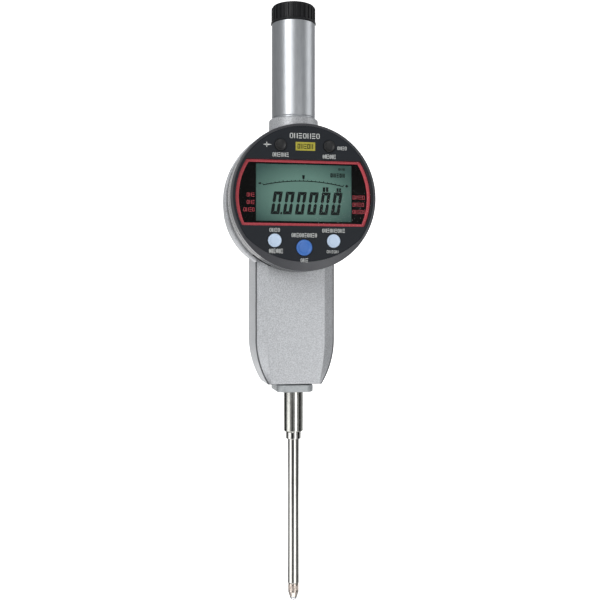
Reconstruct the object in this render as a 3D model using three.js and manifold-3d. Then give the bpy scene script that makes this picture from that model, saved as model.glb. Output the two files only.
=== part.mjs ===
// Digital dial indicator with two inches of travel, a round display that turns, and a flat back.
// Millimetres, +Z up, display facing -Y. The origin is on the spindle axis, at the middle of the stem.
import * as THREE from "three";
import { mergeVertices } from "three/addons/utils/BufferGeometryUtils.js";
import Module from "manifold-3d";

const wasm = await Module();
wasm.setup();

// ---------- driving dimensions ----------

const TRAVEL = 50.8; // spindle stroke, two inches
const GAP = 0.1; // clearance between pieces that fit each other
const PASS = 0.5; // how far a cutting body runs past the face that it cuts
const FINE = 40; // segments of a large circle
const ROUND = 20; // segments of a middle circle
const SMALL = 10; // segments of a small circle

const STEM = { radius: 4, bore: 3.1, top: 11.2, bottom: -8.3, chamfer: 0.6 };
const END_RING = { radius: 3.15, bottom: -11.4, chamfer: 0.7, spigot: 2 };
const BUSH = { radius: 3, bore: 2.45 };
const MIDDLE_BUSHING_LOW = 6.2;
const SPINDLE = { radius: 2.35, bottom: -71, top: 112, chamfer: 0.4 };
const CONTACT = { radius: 2.3, barrel: 3.6, cone: 2.5, neck: 1.35, stud: 1.1, studLength: 4.5 };
const BALL = { radius: 1.5, centre: -76.7 };

// The lower case is a box whose sides curve in towards the stem.
const CASE = { half: 16.4, bottom: 11.4, top: 110, corner: 5, taperFrom: 30, taperRadius: 35.5, wall: 2.2 };
const SEAM = -3.7; // where the front cover meets the case
const BACK = { face: 15.7, thickness: 2.4, bevel: 0.8 };
const COVER = { half: 11.9, bottom: 12.4, top: 64, taperFrom: 32, taperRadius: 99, front: -6.8 };
const COVER_SHELL = { inset: 3.2, wall: 1.7, seamGap: 0.35 };
const COVER_LIP = 0.15; // room round the upper end of the front cover
const COLLAR = { half: 7.6, front: -6.3, back: 14.2, corner: 3.6, bottom: 8.3, chamfer: 0.9 };
const COLLAR_NECK = { half: 6, front: -3.6, back: 9, top: 15 };
const TONGUE = { half: 5.5, front: 5.8, back: 7.2, top: 26, screwInset: 2, screwDrop: 3 };

// The drum behind the display, part of the case, and its web with the hole that the display turns in.
const DRUM = { z: 85.9, radius: 29.6, front: -8.7, straight: -2.7, backRadius: 27.5, chamfer: 0.6 };
const WEB = { back: -5.2, hole: 11.9 };
const TURN = { radius: 20, pin: 0.8, pinEnd: -7.8, land: 30, grooveHalf: 1.1, grooveDepth: 1.2 };
const DISPLAY_ROOM = 0.6; // round the display, under the boss
const BOSS = { radius: 10.2, bottom: 100, top: 120.4, chamfer: 1, bore: 8 };
const TUBE = { radius: 9, bore: 7.8, bottom: 112.6, top: 159.8 };
const TUBE_GROOVE = { radius: 8.7, low: 120.7, high: 121.2 };
const CAP_SPIGOT = { radius: 7.65, bore: 5.5, bottom: 154, roof: SPINDLE.top + TRAVEL + 2.4 };
const CAP_TOP = CAP_SPIGOT.roof + 2;
const CAP = { root: 8.75, lip: 9.35, lipHeight: 0.8, top: CAP_TOP, chamfer: 1.2 };
const RIB = { reach: 9.1, width: 0.95, count: 28 };

// The display unit, measured from the centre of the drum. Its layers are counted back from the face.
const FRONT = -24.3;
const FACE = { radius: 28.7, front: FRONT, seam: FRONT + 4.9, back: -9.2, wall: 1.8, chamfer: 0.7 };
const NECK = { radius: 11.6, bore: 9.6, end: -3.4 };
const NECK_GROOVE = { radius: 10.9, front: -4.85, back: -3.95 };
const CLIP = { radius: 14.4, washerFront: -5.1, washerBack: -4.9, front: -4.75, back: -4.05 };
const PLATE = { radius: 27.6, back: FRONT + 1.6, bore: 26.4 };
const CRESCENT = { radius: 32.3, offset: 7.3, drop: 1.1, width: 3.6 };
const WINDOW = { radius: 26.7, low: -11.2, high: 14.5, front: FRONT + GAP, back: FRONT + 1.4 };
const LCD = { half: 20.8, low: -11.3, high: 14.4, front: FRONT + 1.7, back: FRONT + 3.7 };
const INNER = { front: FRONT + 3.8, back: FRONT + 5.3, radius: 25.6 }; // from the panel to the board
const STRIP = { half: 17, low: -11.2, high: -10 };
const UPPER_PAD = { half: 12.4, low: 17, high: 23 };
const LOWER_PAD = { half: 15.4, low: -23, high: -13 };
const MAIN_BOARD = { radius: 25.8, front: FRONT + 5.4, back: FRONT + 6.5 };
const DISPLAY_SCREW = { shank: 0.85, head: 1.7, tip: FRONT + 2.8, seat: -10.4, end: -9.3 };
const DISPLAY_POST = { reach: 25, radius: 2.1, lugFront: FRONT + 1.8 };
const DISPLAY_SCREW_DEGREES = [45, 135, 200, 340];
const BUTTON = { proud: 0.6, chamfer: 0.25, fit: 0.15, collar: 0.7, shank: 1.2 };
const BUTTON_DEPTHS = { collarFront: FRONT + 1.75, collarBack: FRONT + 2.55, shankEnd: FRONT + 3.25 };
const BUTTONS = [
  { name: "power_button", x: -9.3, z: 20, radius: 2.25, finish: "key_black" },
  { name: "menu_button", x: 9.9, z: 19.9, radius: 2.25, finish: "key_black" },
  { name: "preset_button", x: -11.6, z: -16.9, radius: 2.6, finish: "key_pale" },
  { name: "zero_button", x: 0, z: -19.6, radius: 3.1, finish: "key_blue" },
  { name: "hold_button", x: 11.6, z: -16.9, radius: 2.6, finish: "key_pale" },
];
const BATTERY = { radius: 5.8, front: -16.7, back: -11.3, reach: 16.5, degrees: -45 };
const HATCH = { half: 6.3, front: -16.8, back: -11.1, inner: 17, rim: 24, wayIn: 23 };
const PORT = { half: 4, front: -14.2, back: -10.8, inner: 21, outer: 28.1, degrees: -122 };
const PORT_POCKET = { inner: 23.5, wall: 0.7, tongueOuter: 27.1 };

// The works inside the case.
const CARRIER = { half: 5.5, front: -2.9, back: 4.2, bottom: 38, top: 46 };
const CARRIER_ARM = { out: -11, bottom: 43.6, half: 1.2 };
const SCALE = { half: 4, front: 4.3, back: 5.5, bottom: 17, top: 78 };
const BRIDGE = { half: 13.9, front: -3, back: 7.2, bottom: 100, top: 106.6 };
const BRIDGE_SLOT = { side: 0.4, face: 0.3 }; // clearance beside and before the scale
const BOARD = { half: 11, shoulder: 8.5, shoulderZ: 99, front: 7.3, back: 8.5, bottom: 20, top: 106.6 };
const READER = { half: 4.5, front: 5.8, back: 7.2, bottom: 69, top: 77.5 };
const RAIL = { near: 8.2, far: 11.2, slot: 10.3, half: 2.6, slotHalf: 1.2, bottom: 19, top: 99.9 };
const GUIDE_PIN = { radius: 1, seat: 3.5, end: 10 };
const SPRING = { x: -8.6, radius: 1.9, wire: 0.3, turns: 12, low: 19.4, high: 43.3, turnSteps: 7 };
const SPRING_POST = { left: -9.9, right: -6.3, half: 2.4, bottom: 13.7, top: 19.2 };
const BUMPER = { radius: 4.1, bore: 2.75, low: 15.1, high: 17.9 };
const STOP = { radius: 4, low: 18, high: 20 };

// Screws, along Y: each has a shank, and a head at its back end.
const BACK_SCREW = { shank: 0.9, head: 1.8, tip: 10.5, seat: 17, end: 18.05, post: 2.3, postFront: 9 };
const BACK_SCREW_LOW = { x: 11.6, z: 22.5 };
const BACK_SCREW_HIGH = { reach: 23.4, degrees: 30 };
const BRIDGE_SCREW = { x: 11.5, z: 103.3, shank: 0.9, head: 1.8, tip: -4.8, end: 8.5 };
const BRIDGE_POST = { radius: 2.6, back: -3.1 };
const BOARD_SCREW = { x: 6.7, shank: 0.7, head: 1.4, depth: 3, end: 9.4 };
const SCALE_SCREW = { z: 42, shank: 0.8, head: 1.5, tip: 2.55, seat: 4.8, end: 5.4 };
const TUBE_SCREW = { z: 117.2, radius: 1.3, front: 9.1, back: 10 };
const SIDES = [-1, 1];

// ---------- materials ----------

const FINISHES = {
  satin: [0xb2b5b9, 0.45, 0.85],
  alloy: [0xc2c5c9, 0.35, 0.9],
  steel: [0xd4d5d2, 0.15, 1],
  brass: [0xb8975a, 0.35, 1],
  carbide: [0x5d636d, 0.2, 1],
  black: [0x202225, 0.45, 0],
  rim: [0x4a4c50, 0.3, 0.2],
  face: [0x2b2e33, 0.5, 0],
  glass: [0x101214, 0.08, 0],
  lcd: [0x567a70, 0.3, 0],
  white: [0xdadcd8, 0.6, 0],
  board: [0x24563b, 0.6, 0],
  rubber: [0x33353a, 0.8, 0],
  key_black: [0x1c1d20, 0.5, 0],
  key_pale: [0xc3d3ee, 0.45, 0],
  key_blue: [0x4f7cc8, 0.45, 0],
};

function paint(finish) {
  const [color, roughness, metalness] = FINISHES[finish];
  return new THREE.MeshStandardMaterial({ color, roughness, metalness });
}

// ---------- solids ----------

const MERGE_DISTANCE = 1e-4;

// Turns a closed geometry into a solid: shared corners merged, faces without area dropped.
function solid(geometry) {
  const bare = new THREE.BufferGeometry();
  bare.setAttribute("position", geometry.getAttribute("position"));
  if (geometry.index) bare.setIndex(geometry.index);
  const merged = mergeVertices(bare, MERGE_DISTANCE);
  const corners = [...merged.index.array];
  const kept = [];
  for (let i = 0; i < corners.length; i += 3) {
    const [a, b, c] = corners.slice(i, i + 3);
    if (a !== b && b !== c && c !== a) kept.push(a, b, c);
  }
  const vertProperties = new Float32Array(merged.getAttribute("position").array);
  return new wasm.Manifold(new wasm.Mesh({ numProp: 3, vertProperties, triVerts: new Uint32Array(kept) }));
}

function geometryOf(manifold) {
  const { vertProperties, triVerts } = manifold.getMesh();
  const indexed = new THREE.BufferGeometry();
  indexed.setAttribute("position", new THREE.BufferAttribute(vertProperties, 3));
  indexed.setIndex(new THREE.BufferAttribute(triVerts, 1));
  const faceted = indexed.toNonIndexed();
  faceted.computeVertexNormals();
  return faceted;
}

const cut = (first, ...others) => others.reduce((rest, tool) => rest.subtract(tool), first);
const join = (first, ...others) => others.reduce((sum, piece) => sum.add(piece), first);

// A box from its lowest corner to its highest.
function block(low, high) {
  const size = high.map((value, axis) => value - low[axis]);
  const middle = high.map((value, axis) => (value + low[axis]) / 2);
  return solid(new THREE.BoxGeometry(...size).translate(...middle));
}

// A round bar along Z.
function pillar(x, y, radius, low, high, segments = SMALL) {
  const bar = new THREE.CylinderGeometry(radius, radius, high - low, segments);
  return solid(bar.rotateX(Math.PI / 2).translate(x, y, (low + high) / 2));
}

// A round bar along Y, or a cone if its back has a radius of its own.
function disc(x, z, radius, front, back, segments = SMALL, backRadius = radius) {
  const bar = new THREE.CylinderGeometry(backRadius, radius, back - front, segments);
  return solid(bar.translate(x, (front + back) / 2, z));
}

// A round bar along X.
function crossbar(y, z, radius, low, high) {
  const bar = new THREE.CylinderGeometry(radius, radius, high - low, SMALL);
  return solid(bar.rotateZ(Math.PI / 2).translate((low + high) / 2, y, z));
}

// A turned shape about three's own Y axis. The profile lists [radius, height] and ends on the axis,
// or is a ring's section, which is closed here.
function lathe(profile, segments) {
  const touchesAxis = profile[0][0] === 0;
  const loop = touchesAxis ? profile : [...profile, profile[0]];
  const area = loop.reduce((sum, [r, h], i) => {
    const [nextR, nextH] = loop[(i + 1) % loop.length];
    return sum + r * nextH - nextR * h;
  }, 0);
  const ordered = area > 0 ? loop : [...loop].reverse();
  return new THREE.LatheGeometry(ordered.map(([r, h]) => new THREE.Vector2(r, h)), segments);
}

const turnedAboutY = (profile, segments = FINE) => solid(lathe(profile, segments));
const turnedAboutZ = (profile, segments = ROUND) => solid(lathe(profile, segments).rotateX(Math.PI / 2));

// A flat outline of [x, z] points, thick along Y from front to back.
function slab(outline, front, back) {
  const shape = new THREE.Shape(outline.map(([x, z]) => new THREE.Vector2(x, z)));
  const plate = new THREE.ExtrudeGeometry(shape, { depth: back - front, bevelEnabled: false });
  return solid(plate.rotateX(Math.PI / 2).translate(0, back, 0));
}

// A solid between two outlines with the same number of points, one at the front and one at the back.
function loft(frontOutline, front, backOutline, back) {
  const count = frontOutline.length;
  const near = frontOutline.map(([x, z]) => [x, front, z]);
  const far = backOutline.map(([x, z]) => [x, back, z]);
  const lid = THREE.ShapeUtils.triangulateShape(frontOutline.map(([x, z]) => new THREE.Vector2(x, z)), []);
  const triangles = [];
  for (const [a, b, c] of lid) {
    triangles.push(a, b, c);
    triangles.push(count + a, count + c, count + b);
  }
  for (let i = 0; i < count; i += 1) {
    const next = (i + 1) % count;
    triangles.push(i, count + i, count + next);
    triangles.push(i, count + next, next);
  }
  const geometry = new THREE.BufferGeometry();
  geometry.setAttribute("position", new THREE.Float32BufferAttribute([...near, ...far].flat(), 3));
  geometry.setIndex(triangles);
  return solid(geometry);
}

// A plan of [x, y] points, tall along Z.
function prism(shape, low, high) {
  const bar = new THREE.ExtrudeGeometry(shape, { depth: high - low, bevelEnabled: false, curveSegments: 6 });
  return solid(bar.translate(0, 0, low));
}

function roundedPlan(half, front, back, corner) {
  const shape = new THREE.Shape();
  shape.moveTo(half, front + corner);
  shape.absarc(half - corner, back - corner, corner, 0, Math.PI / 2);
  shape.absarc(-half + corner, back - corner, corner, Math.PI / 2, Math.PI);
  shape.absarc(-half + corner, front + corner, corner, Math.PI, 1.5 * Math.PI);
  shape.absarc(half - corner, front + corner, corner, 1.5 * Math.PI, 2 * Math.PI);
  return shape;
}

// A place on a circle, in the plane of the display.
function spot(reach, degrees) {
  const angle = THREE.MathUtils.degToRad(degrees);
  return [reach * Math.cos(angle), reach * Math.sin(angle)];
}

// A box that lies along a spoke of the display, from an inner to an outer radius.
function spoke(degrees, inner, outer, front, back, half) {
  const box = new THREE.BoxGeometry(outer - inner, back - front, 2 * half);
  box.translate((inner + outer) / 2, (front + back) / 2, 0);
  return solid(box.rotateY(-THREE.MathUtils.degToRad(degrees)));
}

// A screw along Y with its head at the back.
function screw(x, z, { shank, head, tip, seat, end }) {
  return join(disc(x, z, shank, tip, seat + GAP), disc(x, z, head, seat, end));
}

// ---------- outlines ----------

// The side line of the lower case: straight above taperFrom, and an arc of taperRadius below it.
function sideAt(z, { half, taperFrom, taperRadius }) {
  const fall = Math.max(0, taperFrom - z);
  return half - taperRadius + Math.sqrt(taperRadius ** 2 - fall ** 2);
}

const SIDE_STEPS = 8;
const CORNER_STEPS = 5;

function sidePoints(shape) {
  const points = [];
  for (let i = 0; i <= SIDE_STEPS; i += 1) {
    const z = shape.bottom + ((shape.taperFrom - shape.bottom) * i) / SIDE_STEPS;
    points.push([sideAt(z, shape), z]);
  }
  return points;
}

function cornerPoints({ half, top, corner }) {
  if (!corner) return [[half, top]];
  const points = [];
  for (let i = 0; i <= CORNER_STEPS; i += 1) {
    const [x, z] = spot(corner, (90 * i) / CORNER_STEPS);
    points.push([half - corner + x, top - corner + z]);
  }
  return points;
}

function bodyOutline(shape) {
  const right = [...sidePoints(shape), ...cornerPoints(shape)];
  const left = right.map(([x, z]) => [-x, z]).reverse();
  return [...right, ...left];
}

function inset(shape, by) {
  const smaller = { ...shape, half: shape.half - by, bottom: shape.bottom + by, top: shape.top - by };
  smaller.taperRadius = shape.taperRadius - by;
  if (shape.corner) smaller.corner = shape.corner - by;
  return smaller;
}

// The window: straight at its top and bottom, with arcs of the face at its sides.
const WINDOW_STEPS = 12;

function windowOutline(radius, low, high) {
  const first = Math.asin(low / radius);
  const last = Math.asin(high / radius);
  const points = [];
  for (let i = 0; i <= WINDOW_STEPS; i += 1) {
    const angle = first + ((last - first) * i) / WINDOW_STEPS;
    points.push([radius * Math.cos(angle), radius * Math.sin(angle)]);
  }
  return [...points, ...points.map(([x, z]) => [-x, z]).reverse()];
}

// ---------- case ----------

const backScrewSpots = () => {
  const [x, z] = spot(BACK_SCREW_HIGH.reach, BACK_SCREW_HIGH.degrees);
  return [
    [-BACK_SCREW_LOW.x, BACK_SCREW_LOW.z],
    [BACK_SCREW_LOW.x, BACK_SCREW_LOW.z],
    [-x, DRUM.z + z],
    [x, DRUM.z + z],
  ];
};

function drumShell() {
  const { radius, front, straight, backRadius, chamfer } = DRUM;
  const outside = [[0, front], [radius - chamfer, front], [radius, front + chamfer], [radius, straight]];
  return turnedAboutY([...outside, [backRadius, BACK.face], [0, BACK.face]]).translate([0, 0, DRUM.z]);
}

function drumCavity() {
  const inner = DRUM.radius - CASE.wall;
  const narrow = DRUM.backRadius - CASE.wall;
  const end = BACK.face + PASS;
  const profile = [[0, WEB.back], [inner, WEB.back], [inner, DRUM.straight], [narrow, end], [0, end]];
  return turnedAboutY(profile).translate([0, 0, DRUM.z]);
}

function stopGroove() {
  const { radius, grooveHalf, grooveDepth, land } = TURN;
  const front = DRUM.front - PASS;
  const back = DRUM.front + grooveDepth;
  const [outer, inner] = [radius + grooveHalf, radius - grooveHalf];
  const ring = turnedAboutY([[inner, front], [outer, front], [outer, back], [inner, back]]);
  const landHalf = radius * Math.sin(THREE.MathUtils.degToRad(land / 2));
  const landBlock = spoke(-90, inner - PASS, outer + PASS, front - PASS, back + PASS, landHalf);
  return cut(ring, landBlock).translate([0, 0, DRUM.z]);
}

function boss() {
  const { radius, bottom, top, chamfer } = BOSS;
  const edge = [[radius, top - chamfer], [radius - chamfer, top]];
  return turnedAboutZ([[0, bottom], [radius, bottom], ...edge, [0, top]], FINE);
}

function rearCase() {
  const displayRoom = disc(0, DRUM.z, FACE.radius + DISPLAY_ROOM, FACE.front - PASS, DRUM.front, FINE);
  const outside = join(slab(bodyOutline(CASE), SEAM, BACK.face), drumShell(), boss());
  const inside = slab(bodyOutline(inset(CASE, CASE.wall)), SEAM - PASS, BACK.face + PASS);
  const coverTop = COVER.top + COVER_LIP;
  const coverRoom = block(
    [-CASE.half - COVER_LIP, COVER.front - COVER_LIP, DRUM.z - DRUM.radius - PASS],
    [CASE.half + COVER_LIP, SEAM, coverTop],
  );
  const shell = cut(
    outside,
    displayRoom,
    cut(inside, block([-CASE.half, SEAM - 2 * PASS, coverTop], [CASE.half, WEB.back, CASE.top])),
    drumCavity(),
    coverRoom,
    disc(0, DRUM.z, WEB.hole, DRUM.front - PASS, WEB.back + PASS, FINE),
    stopGroove(),
    pillar(0, 0, BOSS.bore, BOSS.bottom, BOSS.top - PASS, ROUND),
    pillar(0, 0, TUBE.radius + GAP / 2, TUBE.bottom - GAP, BOSS.top + PASS, FINE),
    block(
      [-COLLAR_NECK.half - GAP, SEAM - PASS, CASE.bottom - PASS],
      [COLLAR_NECK.half + GAP, COLLAR_NECK.back + GAP, CASE.bottom + CASE.wall + PASS],
    ),
  );
  const { shank, tip, post, postFront } = BACK_SCREW;
  const posts = backScrewSpots().map(([x, z]) => disc(x, z, post, postFront, BACK.face));
  const holes = backScrewSpots().map(([x, z]) => disc(x, z, shank + GAP, tip - PASS, BACK.face + PASS));
  for (const side of SIDES) {
    const x = side * BRIDGE_SCREW.x;
    const end = BRIDGE_POST.back + PASS;
    posts.push(disc(x, BRIDGE_SCREW.z, BRIDGE_POST.radius, WEB.back - GAP, BRIDGE_POST.back));
    holes.push(disc(x, BRIDGE_SCREW.z, BRIDGE_SCREW.shank + GAP, BRIDGE_SCREW.tip - GAP, end));
  }
  holes.push(disc(0, TUBE_SCREW.z, TUBE_SCREW.radius + GAP, TUBE.radius - PASS, BOSS.radius + PASS));
  return cut(join(shell, ...posts), ...holes);
}

function frontCover() {
  const rear = { ...CASE, top: COVER.top, corner: 0 };
  const outside = loft(bodyOutline(COVER), COVER.front, bodyOutline(rear), SEAM - COVER_SHELL.seamGap);
  const hollow = slab(bodyOutline(inset(rear, COVER_SHELL.inset)), COVER.front + COVER_SHELL.wall, SEAM);
  return cut(outside, hollow);
}

function backCover() {
  const front = BACK.face + GAP;
  const edge = front + BACK.thickness - BACK.bevel;
  const back = front + BACK.thickness;
  const lower = join(
    slab(bodyOutline(CASE), front, edge),
    loft(bodyOutline(CASE), edge - GAP / 2, bodyOutline(inset(CASE, BACK.bevel)), back),
  );
  const upper = join(
    disc(0, DRUM.z, DRUM.backRadius, front, edge, FINE),
    disc(0, DRUM.z, DRUM.backRadius, edge, back, FINE, DRUM.backRadius - BACK.bevel),
  );
  const holes = backScrewSpots().flatMap(([x, z]) => [
    disc(x, z, BACK_SCREW.shank + GAP, front - PASS, back + PASS),
    disc(x, z, BACK_SCREW.head + GAP, BACK_SCREW.seat - GAP, back + PASS),
  ]);
  return cut(join(lower, upper), ...holes);
}

function stemBlock() {
  const { half, front, back, corner, bottom, chamfer } = COLLAR;
  const top = CASE.bottom - GAP;
  const neck = block(
    [-COLLAR_NECK.half, COLLAR_NECK.front, top - GAP],
    [COLLAR_NECK.half, COLLAR_NECK.back, COLLAR_NECK.top],
  );
  const tongueLow = [-TONGUE.half, TONGUE.front, COLLAR_NECK.top - GAP];
  const tongue = block(tongueLow, [TONGUE.half, TONGUE.back, TONGUE.top]);
  const footPlan = roundedPlan(half - chamfer, front + chamfer, back - chamfer, corner - chamfer);
  const foot = prism(footPlan, bottom, top);
  const waist = prism(roundedPlan(half, front, back, corner), bottom + chamfer, top);
  const holes = boardScrewSpots().slice(2).map(([x, z]) => {
    return disc(x, z, BOARD_SCREW.shank + GAP, TONGUE.front - PASS, TONGUE.back + PASS);
  });
  return cut(
    join(waist, foot, neck, tongue),
    pillar(0, 0, STEM.radius + GAP / 2, bottom - PASS, STEM.top + GAP / 2, ROUND),
    pillar(0, 0, BUSH.radius + GAP / 2, bottom, COLLAR_NECK.top + PASS, ROUND),
    ...holes,
  );
}

function stem() {
  const { radius, bore, top, bottom, chamfer } = STEM;
  const edge = [[radius - chamfer, bottom], [radius, bottom + chamfer]];
  return turnedAboutZ([[bore, bottom], ...edge, [radius, top], [bore, top]]);
}

function stemEndRing() {
  const { radius, bottom, chamfer, spigot } = END_RING;
  const top = STEM.bottom - GAP;
  const rim = [[BUSH.bore, bottom], [radius - chamfer, bottom], [radius, bottom + chamfer]];
  const groove = [[radius, top - chamfer], [radius - chamfer, top], [BUSH.radius, top]];
  return turnedAboutZ([...rim, ...groove, [BUSH.radius, top + spigot], [BUSH.bore, top + spigot]]);
}

function bushing(low, high) {
  return turnedAboutZ([[BUSH.bore, low], [BUSH.radius, low], [BUSH.radius, high], [BUSH.bore, high]]);
}

function spindleTube() {
  const { radius, bore, bottom, top } = TUBE;
  const { low, high, radius: root } = TUBE_GROOVE;
  const groove = [[radius, low], [root, low], [root, high], [radius, high]];
  return turnedAboutZ([[bore, bottom], [radius, bottom], ...groove, [radius, top], [bore, top]], FINE);
}

function tubeCap() {
  const { root, lip, lipHeight, top, chamfer } = CAP;
  const bottom = TUBE.top + GAP;
  const grip = bottom + lipHeight;
  const shoulder = top - chamfer;
  const outside = [
    [lip, bottom],
    [lip, grip],
    [root, grip],
    [root, shoulder + RIB.reach - root],
    [RIB.reach - chamfer, top],
    [0, top],
  ];
  const inside = [
    [0, CAP_SPIGOT.roof],
    [CAP_SPIGOT.bore, CAP_SPIGOT.roof],
    [CAP_SPIGOT.bore, CAP_SPIGOT.bottom],
    [CAP_SPIGOT.radius, CAP_SPIGOT.bottom],
    [CAP_SPIGOT.radius, bottom],
  ];
  const ribs = [];
  for (let i = 0; i < RIB.count; i += 1) {
    const bar = new THREE.BoxGeometry(RIB.reach - root + GAP, RIB.width, shoulder - grip + GAP);
    bar.translate((RIB.reach + root - GAP) / 2, 0, (shoulder + grip - GAP) / 2);
    ribs.push(solid(bar.rotateZ((2 * Math.PI * i) / RIB.count)));
  }
  return join(turnedAboutZ([...inside, ...outside], FINE), ...ribs);
}

// ---------- works ----------

function spindle() {
  const { radius, bottom, top, chamfer } = SPINDLE;
  const rod = turnedAboutZ([
    [0, bottom],
    [radius - chamfer, bottom],
    [radius, bottom + chamfer],
    [radius, top - chamfer],
    [radius - chamfer, top],
    [0, top],
  ]);
  return cut(rod, pillar(0, 0, CONTACT.stud + GAP, bottom - PASS, bottom + CONTACT.studLength + PASS));
}

function contactPoint() {
  const { radius, barrel, cone, neck, stud, studLength } = CONTACT;
  const top = SPINDLE.bottom - GAP;
  const body = turnedAboutZ([
    [0, top + studLength],
    [stud, top + studLength],
    [stud, top],
    [radius, top],
    [radius, top - barrel],
    [neck, top - barrel - cone],
    [0, top - barrel - cone],
  ], SMALL);
  return cut(body, sphere(BALL.radius + GAP, BALL.centre));
}

function sphere(radius, z) {
  const ball = new THREE.SphereGeometry(radius, ROUND, ROUND / 2);
  return solid(ball.rotateX(Math.PI / 2).translate(0, 0, z));
}

function stopCollar() {
  const bore = SPINDLE.radius + GAP;
  const { radius, low, high } = STOP;
  return turnedAboutZ([[bore, low], [radius, low], [radius, high], [bore, high]]);
}

function scaleCarrier() {
  const { half, front, back, bottom, top } = CARRIER;
  const armLow = [CARRIER_ARM.out, -CARRIER_ARM.half, CARRIER_ARM.bottom];
  const arm = block(armLow, [-half + GAP, CARRIER_ARM.half, top]);
  const middle = (bottom + top) / 2;
  return cut(
    join(block([-half, front, bottom], [half, back, top]), arm),
    pillar(0, 0, SPINDLE.radius + GAP, bottom - PASS, top + PASS, ROUND),
    crossbar(0, middle, GUIDE_PIN.radius + GAP, GUIDE_PIN.seat, half + PASS),
    disc(0, SCALE_SCREW.z, SCALE_SCREW.shank + GAP, SPINDLE.radius, back + PASS),
  );
}

// The scale's screw is sunk in it, so that its head passes under the detector head.
function scaleStrip() {
  const { z, shank, head, seat } = SCALE_SCREW;
  return cut(
    block([-SCALE.half, SCALE.front, SCALE.bottom], [SCALE.half, SCALE.back, SCALE.top]),
    disc(0, z, shank + GAP, SCALE.front - PASS, SCALE.back + PASS),
    disc(0, z, head + GAP, seat - GAP, SCALE.back + PASS),
  );
}

function guidePin() {
  const middle = (CARRIER.bottom + CARRIER.top) / 2;
  return crossbar(0, middle, GUIDE_PIN.radius, GUIDE_PIN.seat + GAP, GUIDE_PIN.end);
}

class Coil extends THREE.Curve {
  getPoint(t) {
    const angle = 2 * Math.PI * SPRING.turns * t;
    const low = SPRING.low + SPRING.wire;
    const high = SPRING.high - SPRING.wire;
    const [x, y] = [SPRING.x + SPRING.radius * Math.cos(angle), SPRING.radius * Math.sin(angle)];
    return new THREE.Vector3(x, y, low + (high - low) * t);
  }
}

function returnSpring() {
  const wire = new THREE.Shape().absarc(0, 0, SPRING.wire, 0, 2 * Math.PI);
  const steps = SPRING.turns * SPRING.turnSteps;
  const settings = { steps, extrudePath: new Coil(), curveSegments: 3, bevelEnabled: false };
  return solid(new THREE.ExtrudeGeometry(wire, settings));
}

function springPost() {
  const { left, right, half, bottom, top } = SPRING_POST;
  return block([left, -half, bottom], [right, half, top]);
}

function bumperRing() {
  const { radius, bore, low, high } = BUMPER;
  return turnedAboutZ([[bore, low], [radius, low], [radius, high], [bore, high]]);
}

function upperBridge() {
  const { half, front, back, bottom, top } = BRIDGE;
  const slotHalf = SCALE.half + BRIDGE_SLOT.side;
  const { x: screwX, z: screwZ, shank } = BRIDGE_SCREW;
  const { x: boardX, shank: boardShank, depth } = BOARD_SCREW;
  const holes = SIDES.flatMap((side) => [
    disc(side * screwX, screwZ, shank + GAP, front - PASS, back + PASS),
    disc(side * boardX, screwZ, boardShank + GAP, back - depth, back + PASS),
  ]);
  return cut(
    block([-half, front, bottom], [half, back, top]),
    pillar(0, 0, BUSH.radius + GAP / 2, bottom - PASS, top + PASS, ROUND),
    block(
      [-slotHalf, SCALE.front - BRIDGE_SLOT.face, bottom - PASS],
      [slotHalf, SCALE.back + BRIDGE_SLOT.face, top + PASS],
    ),
    ...holes,
  );
}

function bridgeScrew(side) {
  return screw(side * BRIDGE_SCREW.x, BRIDGE_SCREW.z, { ...BRIDGE_SCREW, seat: BRIDGE.back + GAP });
}

function guideRail() {
  const { near, far, slot, half, slotHalf, bottom, top } = RAIL;
  return cut(
    block([near, -half, bottom], [far, half, top]),
    block([near - PASS, -slotHalf, bottom - PASS], [slot, slotHalf, top + PASS]),
  );
}

function boardScrewSpots() {
  const { x } = BOARD_SCREW;
  const low = TONGUE.half - TONGUE.screwInset;
  const z = TONGUE.top - TONGUE.screwDrop;
  return [[-x, BRIDGE_SCREW.z], [x, BRIDGE_SCREW.z], [-low, z], [low, z]];
}

function detectorBoard() {
  const { half, shoulder, shoulderZ, front, back, bottom, top } = BOARD;
  const right = [[half, bottom], [half, shoulderZ], [shoulder, shoulderZ], [shoulder, top]];
  const outline = [...right, ...right.map(([x, z]) => [-x, z]).reverse()];
  const holes = boardScrewSpots().map(([x, z]) => {
    return disc(x, z, BOARD_SCREW.shank + GAP, front - PASS, back + PASS);
  });
  return cut(slab(outline, front, back), ...holes);
}

function detectorHead() {
  const { half, front, back, bottom, top } = READER;
  return block([-half, front, bottom], [half, back, top]);
}

function boardScrew([x, z]) {
  const tip = z > DRUM.z ? BRIDGE.back - BOARD_SCREW.depth + GAP : TONGUE.front;
  return screw(x, z, { ...BOARD_SCREW, tip, seat: BOARD.back + GAP });
}

// ---------- display ----------

const displayScrewSpots = () => DISPLAY_SCREW_DEGREES.map((degrees) => spot(DISPLAY_POST.reach, degrees));

// An opening in the round wall of the display, round a piece that fills it.
function wayIn(degrees, inner, { front, back, half }) {
  return spoke(degrees, inner, FACE.radius + PASS, front - GAP, back + GAP, half + GAP);
}

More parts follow.
